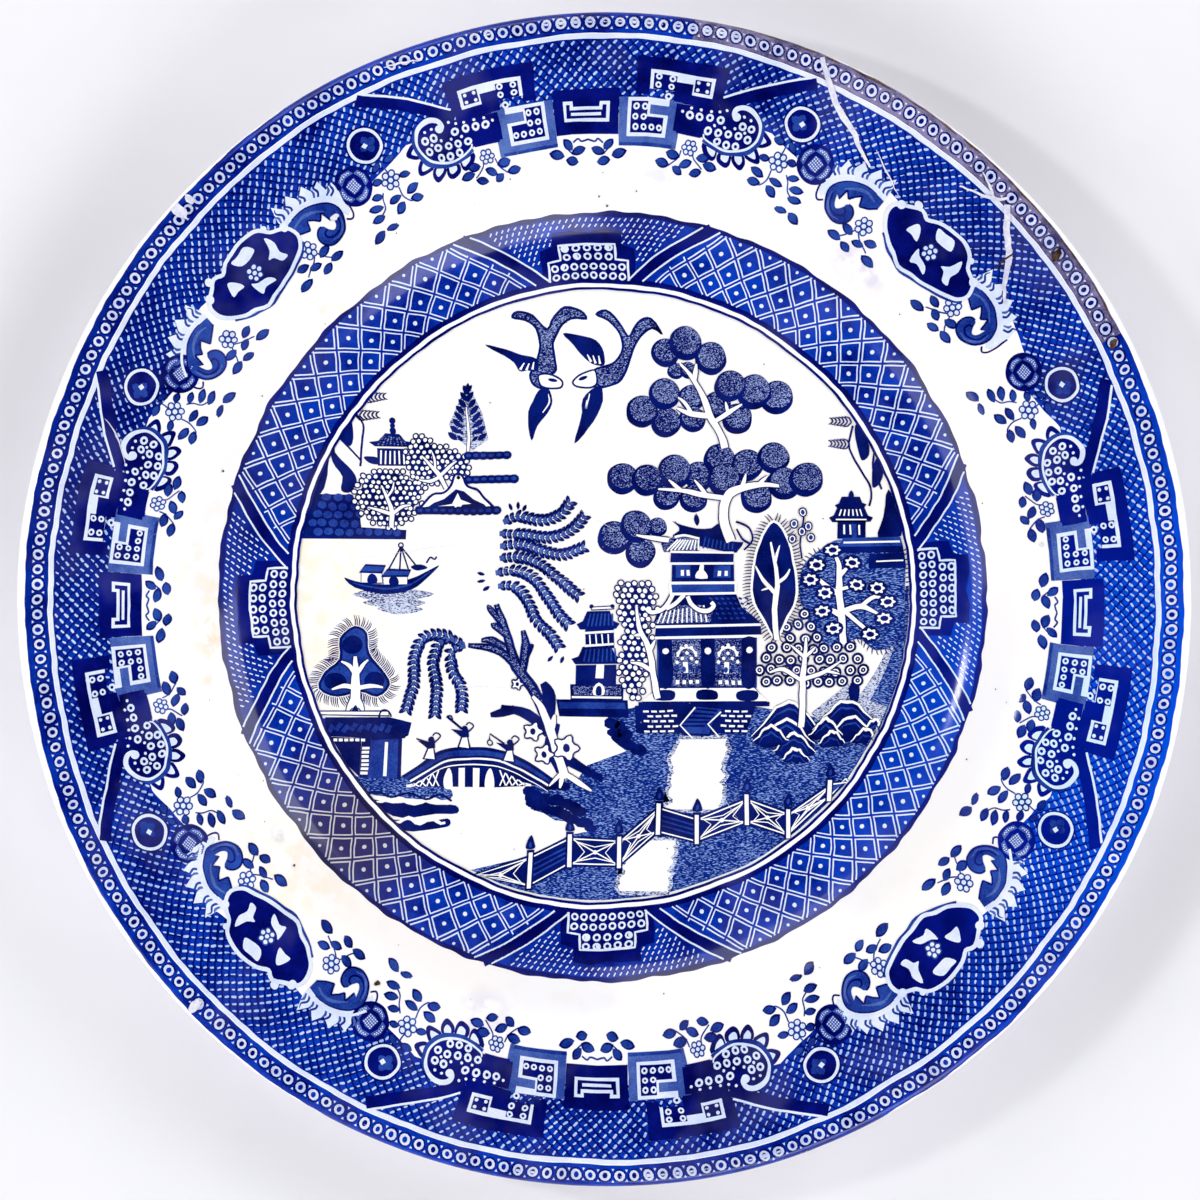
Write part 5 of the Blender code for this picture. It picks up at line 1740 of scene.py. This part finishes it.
# ---- wear ----
def wear():
    """The scratches, chips, pits and specks of long use, over the print and the glaze."""
    art = Artwork("wear_marks", "clear_glaze", base=14)
    rng = random.Random(77)
    scratches = (([(48.6, 119.6), (50.4, 114.2), (52.4, 109.0), (55.6, 104.0), (57.6, 99.6),
        (59.6, 95.6)], 1.5, 0.7, 0.3), ([(90.4, 87.4), (90.2, 82.0), (90.6, 76.0), (89.8, 70.6),
        (89.6, 65.6)], 1.5, 0.9, 0.35), ([(79.6, 91.6), (84.6, 89.4), (88.2, 88.6), (90.6, 88.8)], 0.7,
        0.4, 0.8), ([(84.6, 94.4), (86.4, 91.0), (87.4, 88.0)], 0.55, 0.3, 0.8),
        ([(61.0, 99.6), (63.4, 94.6), (66.2, 89.2)], 0.35, 0.3, 0.3), ([(-49.6, 117.4), (-46.0, 118.4),
        (-41.6, 119.2)], 0.5, 0.2, 0.2), ([(-112.4, 40.2), (-109.6, 36.4), (-107.8, 30.2)], 0.4, 0.2,
        0.2))
    for path, width, first, last in scratches:
        path = smooth(path, 5)
        path = path + np.array([[rng.uniform(-0.12, 0.12), rng.uniform(-0.12, 0.12)] for _ in path])
        art.line(SCUFF, 1, path, width, (first, last))
    fine = (([(-34, 10), (-20, 6), (-8, 4)], 0.1), ([(-60, 8), (-40, 11), (-26, 12.4)], 0.12),
        ([(-6, 20), (4, 14)], 0.1), ([(22, -38), (30, -50)], 0.1), ([(-40, -22), (-28, -20),
        (-18, -21)], 0.1), ([(30, 58), (44, 50)], 0.1))
    for path, width in fine:
        art.line(SCUFF, 1, smooth(path, 4), width, (0.2, 0.2))
    chips = ((-95.6, 86.2, 2.6, 1.3, 138, SCUFF), (-93.0, 88.6, 1.4, 0.8, 130, SCUFF),
        (-92.2, -89.4, 1.9, 1.0, 45, SCUFF), (-60.7, 84.7, 1.0, 0.7, 30, SCUFF),
        (98.0, 12.0, 0.55, 0.55, 0, SCUFF), (101.4, 76.2, 1.7, 1.0, 53, BURNT),
        (114.0, 56.6, 1.2, 0.8, 63, BURNT), (-69.0, -59.8, 0.3, 0.3, 0, BURNT),
        (-84.7, 28.0, 0.26, 0.26, 0, BURNT), (0.9, 87.3, 0.28, 0.28, 0, BURNT),
        (-0.9, 89.3, 0.22, 0.22, 0, BURNT), (-5.0, 2.0, 0.16, 0.16, 0, BURNT),
        (-50.9, -85.3, 0.75, 0.6, 20, BURNT))
    for x, y, across, along, tilt, tint in chips:
        shape = oval(0, 0, across, along, 0, 13) * np.array([[rng.uniform(0.75, 1.2)] for _ in range(13)])
        art.fill(tint, 1, turned(shape, tilt) + (x, y), 0.8)
    art.line(BURNT, 2, smooth([(88.0, 73.6), (89.4, 75.2), (91.4, 76.6)]), 0.4, (0.4, 0.9))
    art.line(BURNT, 2, smooth([(88.2, 72.9), (89.6, 74.2)]), 0.25, (0.4, 0.4))
    for _ in range(46):
        turn, reach = rng.uniform(0, 6.283), rng.choice((rng.uniform(4, 66), rng.uniform(86, 96)))
        size = rng.uniform(0.08, 0.2)
        art.fill(BURNT if reach > 80 else GREYED, 1, oval(reach * math.sin(turn),
            reach * math.cos(turn), size, sides=6))
    # the browned lip
    angle = 12.0
    while angle < 60:
        run = rng.uniform(1.2, 5.0)
        turn = np.radians(np.linspace(angle, angle + run, 12))
        reach = LIP_STAIN + 0.1 * np.sin(9 * turn)
        path = at_polar(reach, turn)
        art.line(BURNT, -11, path, rng.uniform(0.25, 0.6), (0.3, 0.3))
        angle += run + rng.uniform(0.2, 1.4)
    return art.piece()


# ---- the pottery ----
def turned_solid(name, outline, material, segments=512):
    """Turns a closed outline of (radius, height) points in millimetres about the plate's axis."""
    rings, points, faces = [], [], []
    for radius, height in outline:
        if radius < 1e-6:
            rings.append([len(points)])
            points.append((0, 0, height))
            continue
        rings.append(list(range(len(points), len(points) + segments)))
        turn = np.linspace(0, 2 * math.pi, segments, endpoint=False)
        points += list(zip(radius * np.sin(turn), radius * np.cos(turn), [height] * segments))
    for a, b in zip(rings, rings[1:] + rings[:1]):
        if len(a) == len(b) == 1:
            continue
        for k in range(segments):
            j = (k + 1) % segments
            corners = [a[k % len(a)], a[j % len(a)], b[j % len(b)], b[k % len(b)]]
            faces.append(list(dict.fromkeys(corners)))
    mesh = bpy.data.meshes.new(name)
    mesh.from_pydata((out_of_round(np.array(points)) * MM).tolist(), [], faces)
    mesh.materials.append(material)
    mesh.update()
    mesh.shade_smooth()
    mesh.set_sharp_from_angle(angle=math.radians(40))
    return shown(name, mesh)


def glazed_points(depth):
    """The glazed surface in section, at this depth: the face, the lip and the back to the foot."""
    radii = np.concatenate((np.linspace(0, FLOOR_RADIUS, 8), np.arange(FLOOR_RADIUS + 0.5, SHOULDER_END,
        0.6), np.linspace(SHOULDER_END, FRONT_END, 12)))
    height, slope = face_section(radii)
    found = [(r - depth * -math.sin(s), z - depth * math.cos(s)) for r, z, s in zip(radii, height, slope)]
    middle = float(face_section(FRONT_END)[0]) - LIP_ROUND * math.cos(MARLY_SLOPE)
    for k in range(1, 13):
        turn = math.pi / 2 + MARLY_SLOPE - math.pi * k / 12
        reach = LIP_ROUND - depth
        found.append((LIP_CENTRE + reach * math.cos(turn), middle + reach * math.sin(turn)))
    back = [*np.linspace(FRONT_END - 4, SHOULDER_END, 8), *np.arange(SHOULDER_END - 0.6, FLOOR_RADIUS,
        -0.8)]
    for radius in back:
        height, slope = face_section(radius)
        down = WALL - depth
        point = (radius + down * math.sin(slope), float(height) - down * math.cos(slope))
        if point[0] > FOOT_OUTER + 0.2:
            found.append(point)
    drawn = (FOOT_ROOT - GLAZE_EDGE) * FOOT_TOE / FOOT_ROOT
    return found + [(FOOT_OUTER - depth, FOOT_ROOT), (FOOT_OUTER - drawn - depth, GLAZE_EDGE)]


def glaze_material():
    """White glaze over earthenware: nearly even, with warm and cool casts, stains of long use, and
    orange-brown marks along the left crease of the hollow.
    """
    n = Nodes("white_glaze")
    color = n.mix(n.ramp(n.noise(60, 2.0, seed=2.2), 0.35, 0.65), shade(255, 250, 246),
        shade(250, 249, 252))
    color = n.mix(n.ramp(n.noise(9, 3.0, seed=4.4), 0.55, 0.75, 0, 0.35), color, shade(246, 238, 232))
    cream, violet, orange_brown, grey = shade(250, 236, 216), shade(224, 220, 238), shade(222, 178,
        128), shade(206, 206, 214)
    stains = ((-76, 4, 34, cream, 0.8), (-68, -58, 22, cream, 0.7), (-60, -10, 26, cream, 0.5),
        (-88, -8, 7, orange_brown, 0.45), (-87.5, -17, 6, orange_brown, 0.4), (-81, -40, 6, orange_brown, 0.35),
        # the three orange-brown marks lie along the left crease of the hollow
        (13, 94, 5, violet, 0.5), (8, 94.5, 4, violet, 0.4), (55, 75, 6.5, violet, 0.9),
        (59, 71.5, 5, violet, 0.9), (-27, -92, 8, violet, 0.7), (-72.9, -52, 3.2, grey, 0.9),
        (-62, 62, 9, cream, 0.6))
    blotches = n.ramp(n.noise(3.5, 3.0, seed=8.8), 0.38, 0.62)
    for x, y, reach, tint, strength in stains:
        share = n.math("MULTIPLY", n.math("MULTIPLY", n.near(x, y, reach, 0.2), blotches), strength)
        color = n.mix(share, color, tint)
    return n.finish(color, n.ramp(n.noise(5, 2.0), 0.3, 0.7, 0.08, 0.13), n.noise(7, 2.0), 0.04)


def biscuit_material():
    n = Nodes("bare_biscuit")
    color = n.mix(n.ramp(n.noise(1.5, 4.0), 0.35, 0.7), shade(224, 212, 190), shade(186, 165, 135))
    return n.finish(color, 0.7, n.noise(0.5, 3.0), 0.1)


def pottery():
    glaze, biscuit = glaze_material(), biscuit_material()
    skin = glazed_points(0) + glazed_points(GLAZE)[::-1]
    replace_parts(turned_solid("glazed_face_and_back", skin, glaze), "front_glaze")
    depth = PRINT_DEPTH + 0.18
    roof = BASE_BOTTOM + PRINT_DEPTH
    outer, inner = FOOT_OUTER - FOOT_TOE - depth, FOOT_INNER + FOOT_TOE + depth
    foot = [(outer, 0.5), (outer - 0.15, 0.15), (outer - 0.5, 0), (inner + 0.5, 0),
        (inner + 0.15, 0.15), (inner, 0.5), (FOOT_INNER + depth, roof - 0.5), (FOOT_INNER, roof),
        (0, roof)]
    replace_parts(turned_solid("biscuit_body", glazed_points(depth) + foot, biscuit, 256),
        "body")
    disc = [(0, BASE_BOTTOM), (BASE_RADIUS - 0.3, BASE_BOTTOM), (BASE_RADIUS, BASE_BOTTOM + 0.15),
        (BASE_RADIUS, BASE_BOTTOM + GLAZE), (0, BASE_BOTTOM + GLAZE)]
    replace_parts(turned_solid("base_glaze_disc", disc, glaze, 256), "base_glaze")


# ---- the studio ----
def studio():
    scene = bpy.context.scene
    scene.view_settings.view_transform = "Standard"
    floor_nodes = Nodes("pale_floor")
    pale = floor_nodes.mix(floor_nodes.noise(25, 4.0), shade(239, 238, 243), shade(232, 231, 237))
    floor_nodes.finish(pale, 0.9)
    mesh = bpy.data.meshes.new("floor")
    reach = 3.0
    mesh.from_pydata([(-reach, -reach, 0), (reach, -reach, 0), (reach, reach, 0), (-reach, reach, 0)],
        [], [(0, 1, 2, 3)])
    mesh.materials.append(floor_nodes.material)
    floor = bpy.data.objects.new("floor", mesh)
    scene.collection.objects.link(floor)
    world = bpy.data.worlds.new("studio")
    world.use_nodes = True
    tree = world.node_tree
    up = tree.nodes.new("ShaderNodeSeparateXYZ")
    tree.links.new(tree.nodes.new("ShaderNodeTexCoord").outputs["Generated"], up.inputs["Vector"])
    dim = tree.nodes.new("ShaderNodeMapRange")
    for name, number in (("From Min", 0.55), ("From Max", 0.9), ("To Min", 0.42), ("To Max", 0.02)):
        dim.inputs[name].default_value = number
    tree.links.new(up.outputs["Z"], dim.inputs["Value"])
    tree.links.new(dim.outputs["Result"], tree.nodes["Background"].inputs["Strength"])
    tree.nodes["Background"].inputs["Color"].default_value = (0.93, 0.95, 1.0, 1)
    scene.world = world
    for azimuth, elevation, power, side in ((70, 30, 24, 1.3), (160, 30, 26, 1.3), (250, 30, 18, 1.3),
            (340, 30, 16, 1.3)):
        soft_light(f"softbox_{azimuth}", azimuth, elevation, 2.2, side, side, power)
    soft_light("window", 283, 50, 1.6, 0.11, 0.22, 5)
    camera = bpy.data.cameras.new("camera")
    camera.sensor_width = 36
    distance = 1.5
    view_width, lip_height = 0.2654, 0.0235
    camera.lens = camera.sensor_width * (distance - lip_height) / view_width
    seen = bpy.data.objects.new("camera", camera)
    seen.location = (-0.0011, 0, distance)
    scene.collection.objects.link(seen)
    scene.camera = seen


def soft_light(name, azimuth, elevation, distance, width, height, power):
    """A rectangular light aimed at the plate. Azimuth is clockwise from the scene's top."""
    light = bpy.data.lights.new(name, "AREA")
    light.shape = "RECTANGLE"
    light.size, light.size_y = width, height
    light.energy = power
    lamp = bpy.data.objects.new(name, light)
    a, e = math.radians(azimuth), math.radians(elevation)
    away = np.array([math.sin(a) * math.cos(e), math.cos(a) * math.cos(e), math.sin(e)])
    lamp.location = away * distance
    lamp.rotation_euler = Vector(away).to_track_quat("Z", "Y").to_euler()
    bpy.context.scene.collection.objects.link(lamp)


pottery()
ground = border_ground()
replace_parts(ground, *[f"rim_border_print_{k}" for k in (1, 2, 3, 4)])
border_mosaic()
for number, place in enumerate(CARDINALS, 1):
    border_group(number, *place)
for number, place in enumerate(DIAGONALS, 1):
    cartouche(number, *place)
border_line()
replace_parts(bead_edge(), "bead_edge_print")
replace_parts(well_ground(), "well_band_print")
well_band()
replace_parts(centre_ring(), "centre_scene_print")
for piece in (doves, island, boat, near_ground, willow, fringed_tree, gate_house, left_rocks, bridge,
        pagoda, tea_house, berry_tree, ball_tree, flame_tree, eye_flower_tree, ring_fruit_tree,
        right_rocks, right_pavilion, fence):
    piece()
wear()
studio()
